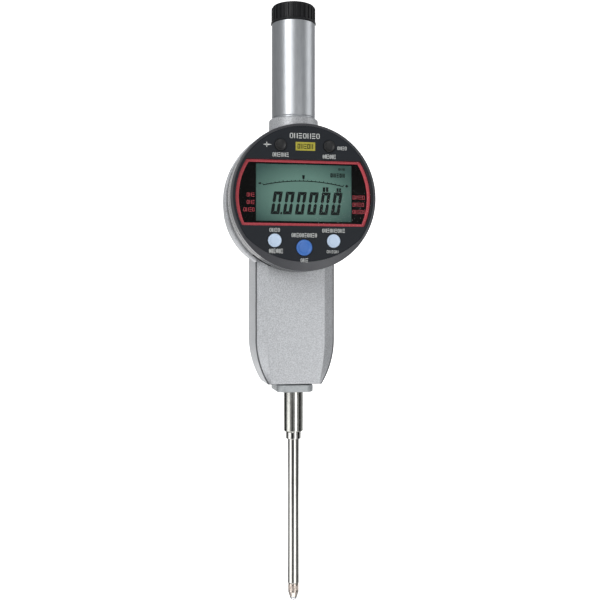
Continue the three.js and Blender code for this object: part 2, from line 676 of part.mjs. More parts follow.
function displayCase() {
  const { radius, seam, back, wall } = FACE;
  const floor = back - wall;
  const profile = [
    [NECK.bore, NECK.end],
    [NECK.bore, floor],
    [radius - wall, floor],
    [radius - wall, seam],
    [radius, seam],
    [radius, back],
    [NECK.radius, back],
    [NECK.radius, NECK_GROOVE.front],
    [NECK_GROOVE.radius, NECK_GROOVE.front],
    [NECK_GROOVE.radius, NECK_GROOVE.back],
    [NECK.radius, NECK_GROOVE.back],
    [NECK.radius, NECK.end],
  ];
  const spots = displayScrewSpots();
  const posts = spots.map(([x, z]) => disc(x, z, DISPLAY_POST.radius, seam + GAP, floor + GAP));
  const holes = spots.flatMap(([x, z]) => [
    disc(x, z, DISPLAY_SCREW.shank + GAP, seam - PASS, back + PASS),
    disc(x, z, DISPLAY_SCREW.head + GAP, DISPLAY_SCREW.seat - GAP, back + PASS),
  ]);
  return cut(
    join(turnedAboutY(profile), ...posts),
    ...holes,
    disc(0, TURN.radius, TURN.pin + GAP, floor - PASS, back + PASS),
    wayIn(BATTERY.degrees, HATCH.wayIn, HATCH),
    wayIn(PORT.degrees, PORT.inner - GAP, PORT),
  );
}

// The face plate lies inside two circles: the rim, and a wider one that leaves a crescent at the bottom.
function plateBlank(grow, front, back) {
  const round = disc(0, 0, PLATE.radius + grow, front, back, FINE);
  return round.intersect(disc(0, CRESCENT.offset, CRESCENT.radius + grow, front, back, FINE));
}

function displayBezel() {
  const { radius, front, seam, chamfer } = FACE;
  const back = seam - GAP;
  const edge = [[radius - chamfer, front], [radius, front + chamfer]];
  const blank = turnedAboutY([[0, front], ...edge, [radius, back], [0, back]]);
  const slope = CRESCENT.width / CRESCENT.drop;
  const wide = CRESCENT.radius + slope * (back - front);
  const cone = disc(0, CRESCENT.offset, CRESCENT.radius + 2 * GAP, front, back + PASS, FINE, wide);
  const ring = cut(
    blank.intersect(cone),
    plateBlank(GAP, front - PASS, PLATE.back + GAP),
    disc(0, 0, PLATE.bore, PLATE.back, back + PASS, FINE),
  );
  const spots = displayScrewSpots();
  const { radius: lugRadius, lugFront } = DISPLAY_POST;
  const lugs = spots.map(([x, z]) => disc(x, z, lugRadius, lugFront, back));
  const holes = spots.map(([x, z]) => disc(x, z, DISPLAY_SCREW.shank + GAP, lugFront + PASS, back + PASS));
  return cut(join(ring, ...lugs), ...holes);
}

function facePlate() {
  const front = FACE.front - PASS;
  const back = PLATE.back + PASS;
  const holes = BUTTONS.map(({ x, z, radius }) => disc(x, z, radius + BUTTON.fit, front, back, ROUND));
  const opening = slab(windowOutline(WINDOW.radius, WINDOW.low, WINDOW.high), front, back);
  return cut(plateBlank(0, FACE.front, PLATE.back), opening, ...holes);
}

function windowLens() {
  const outline = windowOutline(WINDOW.radius - GAP, WINDOW.low + GAP, WINDOW.high - GAP);
  return slab(outline, WINDOW.front, WINDOW.back);
}

function lcdPanel() {
  return block([-LCD.half, LCD.front, LCD.low], [LCD.half, LCD.back, LCD.high]);
}

function lcdFrame() {
  return block([-LCD.half, INNER.front, STRIP.high + GAP], [LCD.half, INNER.back, LCD.high]);
}

function contactStrip() {
  const { half, low, high } = STRIP;
  return block([-half, INNER.front, low], [half, INNER.back, high]);
}

function keypad({ half, low, high }) {
  const round = disc(0, 0, INNER.radius, INNER.front, INNER.back, FINE);
  return block([-half, INNER.front, low], [half, INNER.back, high]).intersect(round);
}

function mainBoard() {
  const { radius, front, back } = MAIN_BOARD;
  const notches = displayScrewSpots().map(([x, z]) => {
    return disc(x, z, DISPLAY_POST.radius + 3 * GAP, front - PASS, back + PASS);
  });
  return cut(disc(0, 0, radius, front, back, FINE), ...notches);
}

function button({ x, z, radius }) {
  const { proud, chamfer, collar, shank } = BUTTON;
  const { collarFront, collarBack, shankEnd } = BUTTON_DEPTHS;
  const front = FACE.front - proud;
  const profile = [
    [0, front],
    [radius - chamfer, front],
    [radius, front + chamfer],
    [radius, collarFront],
    [radius + collar, collarFront],
    [radius + collar, collarBack],
    [shank, collarBack],
    [shank, shankEnd],
    [0, shankEnd],
  ];
  return turnedAboutY(profile, ROUND).translate([x, 0, z]);
}

function ringOf(inner, outer, front, back) {
  return turnedAboutY([[inner, front], [outer, front], [outer, back], [inner, back]]);
}

function turnStopPin() {
  return disc(0, TURN.radius, TURN.pin, FACE.back - FACE.wall, TURN.pinEnd);
}

function batteryCell() {
  const [x, z] = spot(BATTERY.reach, BATTERY.degrees);
  return disc(x, z, BATTERY.radius, BATTERY.front, BATTERY.back, ROUND);
}

function batteryHatch() {
  const { half, front, back, inner, rim } = HATCH;
  const [x, z] = spot(BATTERY.reach, BATTERY.degrees);
  const outer = spoke(BATTERY.degrees, rim, FACE.radius + PASS, front, back, half);
  const lid = disc(0, 0, FACE.radius, front, back, FINE).intersect(outer);
  const tray = cut(
    spoke(BATTERY.degrees, inner, rim + PASS, front, back, half),
    disc(x, z, BATTERY.radius + GAP, front - PASS, back + PASS, ROUND),
  );
  return join(lid, tray);
}

function dataSocket() {
  const { half, front, back, inner, outer, degrees } = PORT;
  const { inner: pocket, wall, tongueOuter } = PORT_POCKET;
  const tongueFront = (front + back - wall) / 2;
  const tongueBack = tongueFront + wall;
  const tongue = spoke(degrees, pocket - PASS, tongueOuter, tongueFront, tongueBack, half - 2 * wall);
  const shell = cut(
    spoke(degrees, inner, outer, front, back, half),
    spoke(degrees, pocket, outer + PASS, front + wall, back - wall, half - wall),
  );
  return join(shell, tongue);
}

// ---------- assembly ----------

function add(group, name, shape, finish) {
  const mesh = new THREE.Mesh(geometryOf(shape), paint(finish));
  mesh.name = name;
  group.add(mesh);
}

function caseGroup() {
  const group = new THREE.Group();
  add(group, "rear_case", rearCase(), "satin");
  add(group, "front_cover", frontCover(), "satin");
  add(group, "back_cover", backCover(), "satin");
  backScrewSpots().forEach(([x, z], i) => {
    add(group, `back_screw_${i + 1}`, screw(x, z, BACK_SCREW), "steel");
  });
  add(group, "stem_block", stemBlock(), "alloy");
  add(group, "stem", stem(), "steel");
  add(group, "stem_end_ring", stemEndRing(), "steel");
  add(group, "lower_bushing", bushing(STEM.bottom + END_RING.spigot + GAP, 0), "brass");
  add(group, "middle_bushing", bushing(MIDDLE_BUSHING_LOW, COLLAR_NECK.top - GAP), "brass");
  add(group, "spindle_tube", spindleTube(), "alloy");
  const setScrew = disc(0, TUBE_SCREW.z, TUBE_SCREW.radius, TUBE_SCREW.front, TUBE_SCREW.back);
  add(group, "tube_set_screw", setScrew, "steel");
  return group;
}

function worksGroup() {
  const group = new THREE.Group();
  add(group, "upper_bridge", upperBridge(), "alloy");
  add(group, "upper_bushing", bushing(BRIDGE.bottom, BRIDGE.top), "brass");
  add(group, "bridge_screw_1", bridgeScrew(-1), "steel");
  add(group, "bridge_screw_2", bridgeScrew(1), "steel");
  add(group, "guide_rail", guideRail(), "steel");
  add(group, "detector_board", detectorBoard(), "board");
  boardScrewSpots().slice(1, 3).forEach((place, i) => {
    add(group, `board_screw_${i + 1}`, boardScrew(place), "steel");
  });
  add(group, "detector_head", detectorHead(), "black");
  add(group, "bumper_ring", bumperRing(), "rubber");
  add(group, "spring_post", springPost(), "alloy");
  add(group, "return_spring", returnSpring(), "steel");
  return group;
}

function spindleGroup() {
  const group = new THREE.Group();
  add(group, "spindle", spindle(), "steel");
  add(group, "contact_point", contactPoint(), "steel");
  add(group, "contact_ball", sphere(BALL.radius, BALL.centre), "carbide");
  add(group, "stop_collar", stopCollar(), "steel");
  add(group, "scale_carrier", scaleCarrier(), "alloy");
  add(group, "scale_strip", scaleStrip(), "glass");
  add(group, "scale_screw", screw(0, SCALE_SCREW.z, SCALE_SCREW), "steel");
  add(group, "guide_pin", guidePin(), "steel");
  return group;
}

function displayGroup() {
  const group = new THREE.Group();
  group.position.z = DRUM.z;
  add(group, "display_case", displayCase(), "rim");
  add(group, "display_bezel", displayBezel(), "rim");
  add(group, "face_plate", facePlate(), "face");
  add(group, "window_lens", windowLens(), "glass");
  add(group, "lcd_panel", lcdPanel(), "lcd");
  add(group, "lcd_frame", lcdFrame(), "white");
  add(group, "contact_strip", contactStrip(), "rubber");
  add(group, "main_board", mainBoard(), "board");
  add(group, "upper_keypad", keypad(UPPER_PAD), "rubber");
  add(group, "lower_keypad", keypad(LOWER_PAD), "rubber");
  displayScrewSpots().forEach(([x, z], i) => {
    add(group, `display_screw_${i + 1}`, screw(x, z, DISPLAY_SCREW), "steel");
  });
  add(group, "turn_stop_pin", turnStopPin(), "steel");
  const washer = ringOf(WEB.hole + GAP, CLIP.radius, CLIP.washerFront, CLIP.washerBack);
  add(group, "friction_washer", washer, "brass");
  const clip = ringOf(NECK_GROOVE.radius + GAP, CLIP.radius, CLIP.front, CLIP.back);
  add(group, "retaining_ring", clip, "steel");
  add(group, "data_socket", dataSocket(), "black");
  add(group, "battery_cell", batteryCell(), "steel");
  add(group, "battery_hatch", batteryHatch(), "rim");
  BUTTONS.forEach((key) => add(group, key.name, button(key), key.finish));
  return group;
}

function capGroup() {
  const group = new THREE.Group();
  add(group, "tube_cap", tubeCap(), "black");
  return group;
}

const assembly = new THREE.Group();
assembly.add(caseGroup(), worksGroup(), spindleGroup(), displayGroup(), capGroup());
export default assembly;
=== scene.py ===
"""Looks of a digital dial indicator: fine pieces and materials around its CAD frame.

Lengths in this script are millimetres, in the frame of the CAD model: +Z up, display facing -Y,
origin on the spindle axis. MM turns them into metres, where a mesh, a light or the camera is made.
"""

import math

import bmesh
import bpy
from mathutils import Matrix, Vector


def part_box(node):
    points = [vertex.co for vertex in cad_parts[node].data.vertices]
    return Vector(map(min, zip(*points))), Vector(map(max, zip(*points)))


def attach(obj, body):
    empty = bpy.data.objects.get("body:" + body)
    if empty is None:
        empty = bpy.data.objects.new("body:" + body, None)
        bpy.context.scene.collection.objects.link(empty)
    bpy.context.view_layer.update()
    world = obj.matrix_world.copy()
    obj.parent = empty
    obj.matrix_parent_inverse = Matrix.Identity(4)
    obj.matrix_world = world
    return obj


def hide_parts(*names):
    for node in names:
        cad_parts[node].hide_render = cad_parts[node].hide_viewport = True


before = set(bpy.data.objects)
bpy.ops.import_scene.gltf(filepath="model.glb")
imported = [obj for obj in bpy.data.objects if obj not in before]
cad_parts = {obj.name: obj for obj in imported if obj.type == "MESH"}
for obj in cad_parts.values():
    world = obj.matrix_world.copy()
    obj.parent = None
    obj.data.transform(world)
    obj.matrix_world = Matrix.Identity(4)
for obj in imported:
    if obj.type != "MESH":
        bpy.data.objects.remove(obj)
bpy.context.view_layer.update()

MM = 0.001
AROUND = 96  # segments of a large turned piece
SMALL_AROUND = 40  # segments of a small one


def span(node):
    """Lowest and highest corner of a CAD node, in millimetres."""
    low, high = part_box(node)
    return low / MM, high / MM


# ---------- places from the frame ----------

case_low, case_high = span("rear_case")
cover_low, cover_high = span("front_cover")
back_low, back_high = span("back_cover")
shell_low, shell_high = span("display_case")
bezel_low, bezel_high = span("display_bezel")
plate_low, plate_high = span("face_plate")
pane_low, pane_high = span("window_lens")
panel_low, _ = span("lcd_panel")
collar_low, collar_high = span("stem_block")
stem_low, stem_high = span("stem")
ring_low, ring_high = span("stem_end_ring")
rod_low, rod_high = span("spindle")
_, tip_high = span("contact_point")
ball_low, ball_high = span("contact_ball")
tube_low, tube_high = span("spindle_tube")
cap_low, cap_high = span("tube_cap")
lid_low, lid_high = span("battery_hatch")

DIAL_Z = (shell_low.z + shell_high.z) / 2
DIAL_RADIUS = (shell_high.x - shell_low.x) / 2
DRUM_RADIUS = (case_high.x - case_low.x) / 2
CASE_HALF = cover_high.x
CASE_BOTTOM = case_low.z
BACK = case_high.y
FACE = plate_low.y

# ---------- sizes of the fine shapes ----------

PAST = 1  # how far a cutter goes past the face that it opens
OVERLAP = 0.1  # how far a joined piece goes into its neighbour
ROOM = 0.1  # clearance round a piece that fits into another
WALL = 2.2
SEAM = -3.7  # where the rear case ends and the strip of painted seam shade starts
CASE = {"half": CASE_HALF, "bottom": CASE_BOTTOM, "top": 110, "corner": 5, "taper_from": 30, "taper": 35.5}
COVER = {"half": 11.9, "bottom": 11.75, "top": cover_high.z, "corner": 0, "taper_from": 32, "taper": 99}
COVER_TOP_RIM = {**CASE, "top": cover_high.z, "corner": 0}
RIM_STEP = 0.4  # how far the cover's rim stands back from the case, and shows the strip of painted seam shade
DRUM_DEPTH = 10.7  # from the front of the display's case
DRUM = {"front": shell_low.y + DRUM_DEPTH, "straight": -2.7, "back_radius": 27.5, "web": -5.2, "hole": 11.9}
DISPLAY_ROOM = 0.6  # clearance round the display, under the boss
BOSS = {"radius": 10.2, "bottom": 100, "chamfer": 1, "bore": 8, "seat": 112.5, "tube": 9.05}
COLLAR = {"half": collar_high.x, "front": collar_low.y, "back": collar_high.y, "corner": 3.6}
NECK = {"half": 6, "front": -3.6, "back": 9, "top": 15}
TONGUE = {"half": 5.5, "front": 5.8, "back": 7.2, "screw_x": 3.5, "screw_z": 23, "hole": 0.8}
SHELL = {"front": shell_low.y, "back": -9.2, "wall": 1.8, "neck": 11.6, "bore": 9.6, "end": shell_high.y}
SHELL_GROOVE = {"radius": 10.9, "front": -4.85, "back": -3.95}
PLATE = {"radius": 27.6, "back": plate_high.y, "bore": 26.4}
CRESCENT = {"radius": 32.3, "offset": 7.3, "drop": 1.1, "width": 3.6}
PANE = {"radius": 26.6, "low": pane_low.z - DIAL_Z, "high": pane_high.z - DIAL_Z}
LID = {"turn": -45, "half": 6.3, "seat": 23}
PORT = {"turn": -122, "half": 4, "inner": 21, "outer": 28.1, "front": -14.2, "back": -10.8}
BACK_SCREWS = [span(f"back_screw_{i}") for i in range(1, 5)]
SCREW_HOLE = 1  # radius of a back screw's hole
SCREW_SEAT = 17
DISPLAY_SCREWS = [span(f"display_screw_{i}") for i in range(1, 5)]
DISPLAY_HOLE, DISPLAY_POST = 0.95, 2.1  # radii round its screws
KEY_COLLAR = 0.7  # how far a key's collar reaches past its cap
KEYS = {"power_button": "black_key", "menu_button": "black_key", "preset_button": "pale_key"}
KEYS.update(zero_button="blue_key", hold_button="pale_key")


# ---------- mesh tools ----------

CREASE = math.radians(32)  # faces that meet at a sharper angle have an edge between them


def finish_mesh(name, bm):
    """A new object from a bmesh in millimetres."""
    bmesh.ops.remove_doubles(bm, verts=bm.verts, dist=1e-5)
    bmesh.ops.recalc_face_normals(bm, faces=bm.faces)
    bmesh.ops.scale(bm, vec=(MM, MM, MM), verts=bm.verts)
    mesh = bpy.data.meshes.new(name)
    bm.to_mesh(mesh)
    bm.free()
    made = bpy.data.objects.new(name, mesh)
    bpy.context.scene.collection.objects.link(made)
    return shade(made)


def shade(piece):
    """Shades a piece smooth, except at its creases."""
    piece.data.shade_smooth()
    piece.data.set_sharp_from_angle(angle=CREASE)
    return piece


def apply_modifiers(piece):
    graph = bpy.context.evaluated_depsgraph_get()
    mesh = bpy.data.meshes.new_from_object(piece.evaluated_get(graph))
    piece.modifiers.clear()
    piece.data = mesh
    return shade(piece)


def combine(piece, operation, tools):
    """Cuts the tools from a piece, or joins them to it, and removes the tools."""
    for tool in tools:
        step = piece.modifiers.new("step", "BOOLEAN")
        step.operation = operation
        step.solver = "EXACT"
        step.object = tool
    apply_modifiers(piece)
    for tool in tools:
        bpy.data.objects.remove(tool)
    return piece


def cut(piece, *tools):
    return combine(piece, "DIFFERENCE", tools)


def join(piece, *others):
    return combine(piece, "UNION", others)


def keep_inside(piece, *others):
    return combine(piece, "INTERSECT", others)


def bevel(piece, width, segments=3, angle=25):
    """Rounds the edges of a piece that are sharper than an angle in degrees."""
    step = piece.modifiers.new("bevel", "BEVEL")
    step.width = width * MM
    step.segments = segments
    step.limit_method = "ANGLE"
    step.angle_limit = math.radians(angle)
    return apply_modifiers(piece)


def rounded(corners, reach, steps=4, closed=True):
    """The corners of a section, each turned into a small curve that starts reach away from it."""
    points = []
    count = len(corners)
    for i, corner in enumerate(corners):
        here = Vector(corner)
        if not closed and i in (0, count - 1):
            points.append(here)
            continue
        before = Vector(corners[i - 1]) - here
        after = Vector(corners[(i + 1) % count]) - here
        start = here + before.normalized() * min(reach, 0.45 * before.length)
        end = here + after.normalized() * min(reach, 0.45 * after.length)
        for step in range(steps + 1):
            t = step / steps
            points.append(start * (1 - t) ** 2 + here * 2 * t * (1 - t) + end * t ** 2)
    return points


def turned(name, profile, axis="Z", segments=AROUND, centre=(0, 0, 0), edge=0.0):
    """A turned piece from (radius, height) points: a ring's closed section, or a line from axis to axis."""
    solid_core = profile[0][0] < 1e-6
    if edge:
        profile = rounded(profile, edge, closed=not solid_core)
    bm = bmesh.new()
    rings = []
    for radius, height in profile:
        spokes = segments if radius > 1e-6 else 1
        ring = []
        for i in range(spokes):
            angle = 2 * math.pi * i / segments
            across, up = radius * math.cos(angle), radius * math.sin(angle)
            place = (across, height, up) if axis == "Y" else (across, up, height)
            ring.append(bm.verts.new(Vector(place) + Vector(centre)))
        rings.append(ring)
    pairs = list(zip(rings, rings[1:])) if solid_core else list(zip(rings, rings[1:] + rings[:1]))
    for lower, upper in pairs:
        for i in range(segments):
            corners = [lower[i % len(lower)], lower[(i + 1) % len(lower)]]
            corners += [upper[(i + 1) % len(upper)], upper[i % len(upper)]]
            distinct = list(dict.fromkeys(corners))
            if len(distinct) > 2:
                bm.faces.new(distinct)
    return finish_mesh(name, bm)


def ring_section(inner, outer, low, high):
    return [(inner, low), (outer, low), (outer, high), (inner, high)]


def disc(x, z, radius, front, back, segments=SMALL_AROUND, name="tool"):
    """A plain round bar along Y."""
    profile = [(0, front), (radius, front), (radius, back), (0, back)]
    return turned(name, profile, "Y", segments, (x, 0, z))


def pillar(radius, low, high, segments=AROUND, name="tool"):
    """A plain round bar along Z, on the spindle axis."""
    return turned(name, [(0, low), (radius, low), (radius, high), (0, high)], "Z", segments)


def add_solid(bm, near, far):
    """Adds the solid between two closed lines of as many points."""
    near = [bm.verts.new(point) for point in near]
    far = [bm.verts.new(point) for point in far]
    bm.faces.new(near)
    bm.faces.new(far[::-1])
    for i in range(len(near)):
        bm.faces.new((near[i], near[i - 1], far[i - 1], far[i]))


def solid(name, near, far):
    bm = bmesh.new()
    add_solid(bm, near, far)
    return finish_mesh(name, bm)


def slab(name, outline, front, back, z=0):
    """A flat outline of (x, z) points, thick along Y."""
    return loft(name, outline, front, outline, back, z)


def loft(name, front_outline, front, back_outline, back, z=0):
    """A solid between two outlines with the same number of points."""
    near = [(x, front, up + z) for x, up in front_outline]
    return solid(name, near, [(x, back, up + z) for x, up in back_outline])


def block(name, low, high):
    return slab(name, box_outline(low[0], high[0], low[2], high[2]), low[1], high[1])


def box_outline(left, right, low, high):
    return [(left, low), (right, low), (right, high), (left, high)]


def prism(name, plan, low, high):
    """A plan of (x, y) points, tall along Z."""
    return solid(name, [(x, y, low) for x, y in plan], [(x, y, high) for x, y in plan])


def spoke(degrees, inner, outer, front, back, half, name="tool"):
    """A box that lies along a spoke of the display."""
    made = block(name, (inner, front, -half), (outer, back, half))
    turn = Matrix.Rotation(-math.radians(degrees), 4, "Y")
    made.data.transform(Matrix.Translation((0, 0, DIAL_Z * MM)) @ turn)
    return made


def middle(node_span):
    low, high = node_span
    return (low + high) / 2


# ---------- outlines ----------

def side_at(z, shape):
    """The side line of the lower case: straight above taper_from, and an arc below it."""
    fall = max(0, shape["taper_from"] - z)
    return shape["half"] - shape["taper"] + math.sqrt(shape["taper"] ** 2 - fall ** 2)


def body_outline(shape, side_steps=18, corner_steps=8):
    right = []
    for i in range(side_steps + 1):
        z = shape["bottom"] + (shape["taper_from"] - shape["bottom"]) * i / side_steps
        right.append((side_at(z, shape), z))
    corner = shape["corner"]
    if corner:
        for i in range(corner_steps + 1):
            angle = math.pi / 2 * i / corner_steps
            x = shape["half"] - corner + corner * math.cos(angle)
            right.append((x, shape["top"] - corner + corner * math.sin(angle)))
    else:
        right.append((shape["half"], shape["top"]))
    return right + [(-x, z) for x, z in reversed(right)]


def inset(shape, by):
    smaller = dict(shape, half=shape["half"] - by, bottom=shape["bottom"] + by, top=shape["top"] - by)
    smaller["taper"] = shape["taper"] - by
    smaller["corner"] = max(0, shape["corner"] - by)
    return smaller


def rounded_plan(half, front, back, corner, steps=12):
    points = []
    centres = [(half, back, 0), (-half, back, 90), (-half, front, 180), (half, front, 270)]
    for x, y, first in centres:
        middle_x = x - math.copysign(corner, x)
        middle_y = y - corner if y == back else y + corner
        for i in range(steps + 1):
            angle = math.radians(first + 90 * i / steps)
            points.append((middle_x + corner * math.cos(angle), middle_y + corner * math.sin(angle)))
    return points


def window_outline(radius, low, high, steps=28):
    """Straight at its top and bottom, with arcs of the face at its sides."""
    first, last = math.asin(low / radius), math.asin(high / radius)
    angles = [first + (last - first) * i / steps for i in range(steps + 1)]
    right = [(radius * math.cos(a), radius * math.sin(a)) for a in angles]
    return right + [(-x, z) for x, z in reversed(right)]


# ---------- materials ----------

class Look:
    """A procedural material on one Principled shader, built up by short calls."""

    def __init__(self, name, metallic=0.0, roughness=0.5, specular=0.5):
        self.material = bpy.data.materials.new(name)
        self.material.use_nodes = True
        self.tree = self.material.node_tree
        self.shader = self.tree.nodes["Principled BSDF"]
        self.shader.inputs["Metallic"].default_value = metallic
        self.shader.inputs["Roughness"].default_value = roughness
        self.shader.inputs["Specular IOR Level"].default_value = specular
        self.place = self.add("ShaderNodeTexCoord").outputs["Object"]

    def add(self, kind, **settings):
        node = self.tree.nodes.new(kind)
        for key, value in settings.items():
            setattr(node, key, value)
        return node

    def link(self, source, target):
        self.tree.links.new(source, target)

    def noise(self, grain, stretch=(1, 1, 1), detail=3.0):
        """Noise with features about grain millimetres across, drawn out by the stretch factors."""
        mapping = self.add("ShaderNodeMapping")
        mapping.inputs["Scale"].default_value = [1 / (grain * MM * s) for s in stretch]
        node = self.add("ShaderNodeTexNoise")
        node.inputs["Scale"].default_value = 1
        node.inputs["Detail"].default_value = detail
        self.link(self.place, mapping.inputs["Vector"])
        self.link(mapping.outputs["Vector"], node.inputs["Vector"])
        return node.outputs["Fac"]

    def colour(self, source, dark, light, low=0.3, high=0.7):
        """The base colour runs from dark to light, given as sRGB from 0 to 255."""
        ramp = self.add("ShaderNodeValToRGB")
        ends = ramp.color_ramp.elements
        ends[0].position, ends[1].position = low, high
        ends[0].color, ends[1].color = srgb(dark), srgb(light)
        self.link(source, ramp.inputs["Fac"])
        self.link(ramp.outputs["Color"], self.shader.inputs["Base Color"])
        return self

    def roughness(self, source, low, high):
        scale = self.add("ShaderNodeMapRange")
        scale.inputs["To Min"].default_value = low
        scale.inputs["To Max"].default_value = high
        self.link(source, scale.inputs["Value"])
        self.link(scale.outputs["Result"], self.shader.inputs["Roughness"])
        return self

    def bump(self, source, depth):
        """Relief depth in millimetres."""
        node = self.add("ShaderNodeBump")
        node.inputs["Strength"].default_value = 1
        node.inputs["Distance"].default_value = depth * MM
        self.link(source, node.inputs["Height"])
        self.link(node.outputs["Normal"], self.shader.inputs["Normal"])
        return self

    def set(self, **values):
        for key, value in values.items():
            self.shader.inputs[key.replace("_", " ")].default_value = value
        return self


def srgb(colour):
    """A linear colour with alpha from an sRGB one of 0 to 255."""
    parts = [c / 255 for c in colour]
    return [p / 12.92 if p <= 0.04045 else ((p + 0.055) / 1.055) ** 2.4 for p in parts] + [1.0]


def satin_paint():
    """Silver paint with a fine metallic grain."""
    look = Look("satin_paint", metallic=0.35, roughness=0.42)
    look.colour(look.noise(0.42, detail=4), (176, 178, 181), (212, 214, 217), 0.36, 0.64)
    look.roughness(look.noise(6), 0.38, 0.48)
    return look.bump(look.noise(0.16), 0.01).material


def lined_metal(name, dark, light, low, high, line=0.09, reach=80, cloud=3, rise=1, depth=0.0004, metallic=1):
    """Turned or ground metal: fine lines round the axis, and a faint cloudy tone."""
    look = Look(name, metallic, roughness=low)
    lines = look.noise(line, stretch=(reach, reach, 1))
    look.colour(look.noise(cloud, stretch=(1, 1, rise)), dark, light)
    look.roughness(lines, low, high)
    return look.bump(lines, depth).material


def plain_steel():
    look = Look("plain_steel", metallic=1.0, roughness=0.25)
    look.colour(look.noise(0.8), (168, 168, 166), (192, 192, 190))
    look.roughness(look.noise(0.3), 0.2, 0.34)
    return look.bump(look.noise(0.1), 0.002).material


def moulded(name, dark, light, low, high, specular=0.5, depth=0.006):
    """Moulded plastic or rubber with a fine grain."""
    look = Look(name, roughness=low, specular=specular)
    fine = look.noise(grain=0.16, detail=4)
    look.colour(fine, dark, light)
    look.roughness(look.noise(2.5), low, high)
    return look.bump(fine, depth).material


def printed(name, dark, light):
    """Printing ink, a little uneven in tone."""
    look = Look(name, roughness=0.6, specular=0.2)
    look.colour(look.noise(0.5), dark, light)
    return look.bump(look.noise(0.08), 0.001).material


def window_glass():
    look = Look("window_glass", roughness=0.04, specular=0.25)
    look.colour(look.noise(9), (2, 2, 3), (5, 6, 7))
    look.roughness(look.noise(7), 0.03, 0.08)
    look.set(Alpha=0.05)
    return look.material


def scale_glass():
    look = Look("scale_glass", metallic=0.2, roughness=0.15)
    stripes = look.noise(0.6, stretch=(50, 50, 1), detail=0)
    look.colour(stripes, (150, 126, 84), (206, 190, 150), 0.45, 0.55)
    look.roughness(stripes, 0.12, 0.3)
    return look.material


def liquid_crystal():
    """The grey-green back of the panel, with painted shade that darkens it towards its edges."""
    look = Look("liquid_crystal", roughness=0.5, specular=0.2)
    reach, height, rise = 25, 15.5, 1  # of the painted shade's bright middle, and how far that middle lies above the display's
    across, up = 1 / (reach * MM), 1 / (height * MM)
    mapping = look.add("ShaderNodeMapping")
    mapping.inputs["Scale"].default_value = (across, 0, up)
    mapping.inputs["Location"].default_value = (0, 0, -(DIAL_Z + rise) * MM * up)
    # Painted shade: a spherical gradient, lighter in the middle and darker towards the panel's edges.
    brightness = look.add("ShaderNodeTexGradient", gradient_type="SPHERICAL")
    look.link(look.place, mapping.inputs["Vector"])
    look.link(mapping.outputs["Vector"], brightness.inputs["Vector"])
    look.colour(brightness.outputs["Fac"], (66, 98, 92), (112, 150, 138), 0.05, 0.55)
    look.roughness(look.noise(2), 0.45, 0.55)
    return look.material


def circuit_board():
    look = Look("circuit_board", roughness=0.4)
    tracks = look.noise(1.2, stretch=(1, 1, 4), detail=1)
    look.colour(tracks, (24, 74, 46), (44, 104, 66), 0.46, 0.54)
    return look.bump(tracks, 0.03).material


LOOKS = {make.__name__: make() for make in (
    satin_paint, plain_steel, window_glass, scale_glass, liquid_crystal, circuit_board,
)}
# Two colours and two roughnesses, then the size and reach of the lines, the size and rise of the clouds,
# the relief in millimetres, and the metallic share.
METALS = {
    "polished_steel": ((206, 205, 200), (222, 221, 216), 0.07, 0.13),
    "stem_steel": ((192, 192, 186), (208, 208, 202), 0.14, 0.24),
    "tip_steel": ((200, 188, 180), (218, 207, 198), 0.18, 0.28),
    "carbide": ((196, 198, 200), (214, 216, 218), 0.14, 0.22),
    "satin_aluminium": ((186, 189, 193), (198, 201, 204), 0.32, 0.42, 0.12, 60, 0.6, 8, 0.0015),
    "collar_alloy": ((170, 174, 176), (186, 190, 192), 0.4, 0.5, 0.15, 30, 0.5, 1, 0.003, 0.35),
    "bushing_bronze": ((172, 138, 82), (196, 160, 100), 0.28, 0.42, 0.1, 40, 0.7, 1, 0.002),
}
# Two colours and two roughnesses, then the specular level and the relief.
MOULDINGS = {
    "dark_rim": ((62, 63, 67), (74, 75, 79), 0.26, 0.34),
    "side_wall": ((30, 31, 34), (42, 43, 47), 0.22, 0.3),
    "face_panel": ((35, 38, 42), (45, 48, 53), 0.4, 0.5, 0.12),
    "black_mask": ((3, 3, 3), (7, 7, 7), 0.5, 0.6, 0.1),
    "light_box": ((206, 208, 204), (220, 222, 218), 0.5, 0.6),
    # The next grey is painted shade, for the strip in the seam between the cover and the rear case.
    "seam_shade": ((84, 86, 89), (104, 106, 109), 0.6, 0.7),
    "rubber": ((38, 40, 43), (50, 52, 55), 0.7, 0.85, 0.5, 0.01),
    "black_plastic": ((17, 18, 20), (27, 28, 31), 0.4, 0.5, 0.3),
    "black_key": ((14, 15, 17), (22, 23, 25), 0.4, 0.5),
    "pale_key": ((194, 214, 238), (206, 224, 246), 0.34, 0.42, 0.5, 0.002),
    "blue_key": ((58, 110, 190), (70, 122, 202), 0.34, 0.42, 0.5, 0.002),
}
INKS = {
    "red_print": ((212, 82, 92), (228, 100, 110)),
    "white_print": ((205, 207, 205), (225, 227, 225)),
    "badge_print": ((168, 160, 60), (188, 178, 72)),
    "segment_print": ((14, 22, 22), (22, 32, 31)),
}
for family, make in ((METALS, lined_metal), (MOULDINGS, moulded), (INKS, printed)):
    LOOKS.update({name: make(name, *values) for name, values in family.items()})


def place(piece, look, slot, body, *nodes):
    """Gives a piece its material and body, and hides the CAD nodes that it stands for. The slot argument is
    not used.
    """
    piece.data.materials.clear()
    piece.data.materials.append(LOOKS[look])
    normals = piece.modifiers.new("normals", "WEIGHTED_NORMAL")
    normals.keep_sharp = True
    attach(piece, body)
    if nodes:
        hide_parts(*nodes)
    return piece


# ---------- case ----------

def screw_holes(spans, radius, front, back):
    """A round bar along Y at each screw, to cut or to join."""
    return [disc(middle(s).x, middle(s).z, radius, front, back) for s in spans]


def about_display(name, profile, segments=AROUND, rise=0.0, edge=0.0):
    """A piece turned about the display's axis, or about one that lies higher."""
    return turned(name, profile, "Y", segments, (0, 0, DIAL_Z + rise), edge)


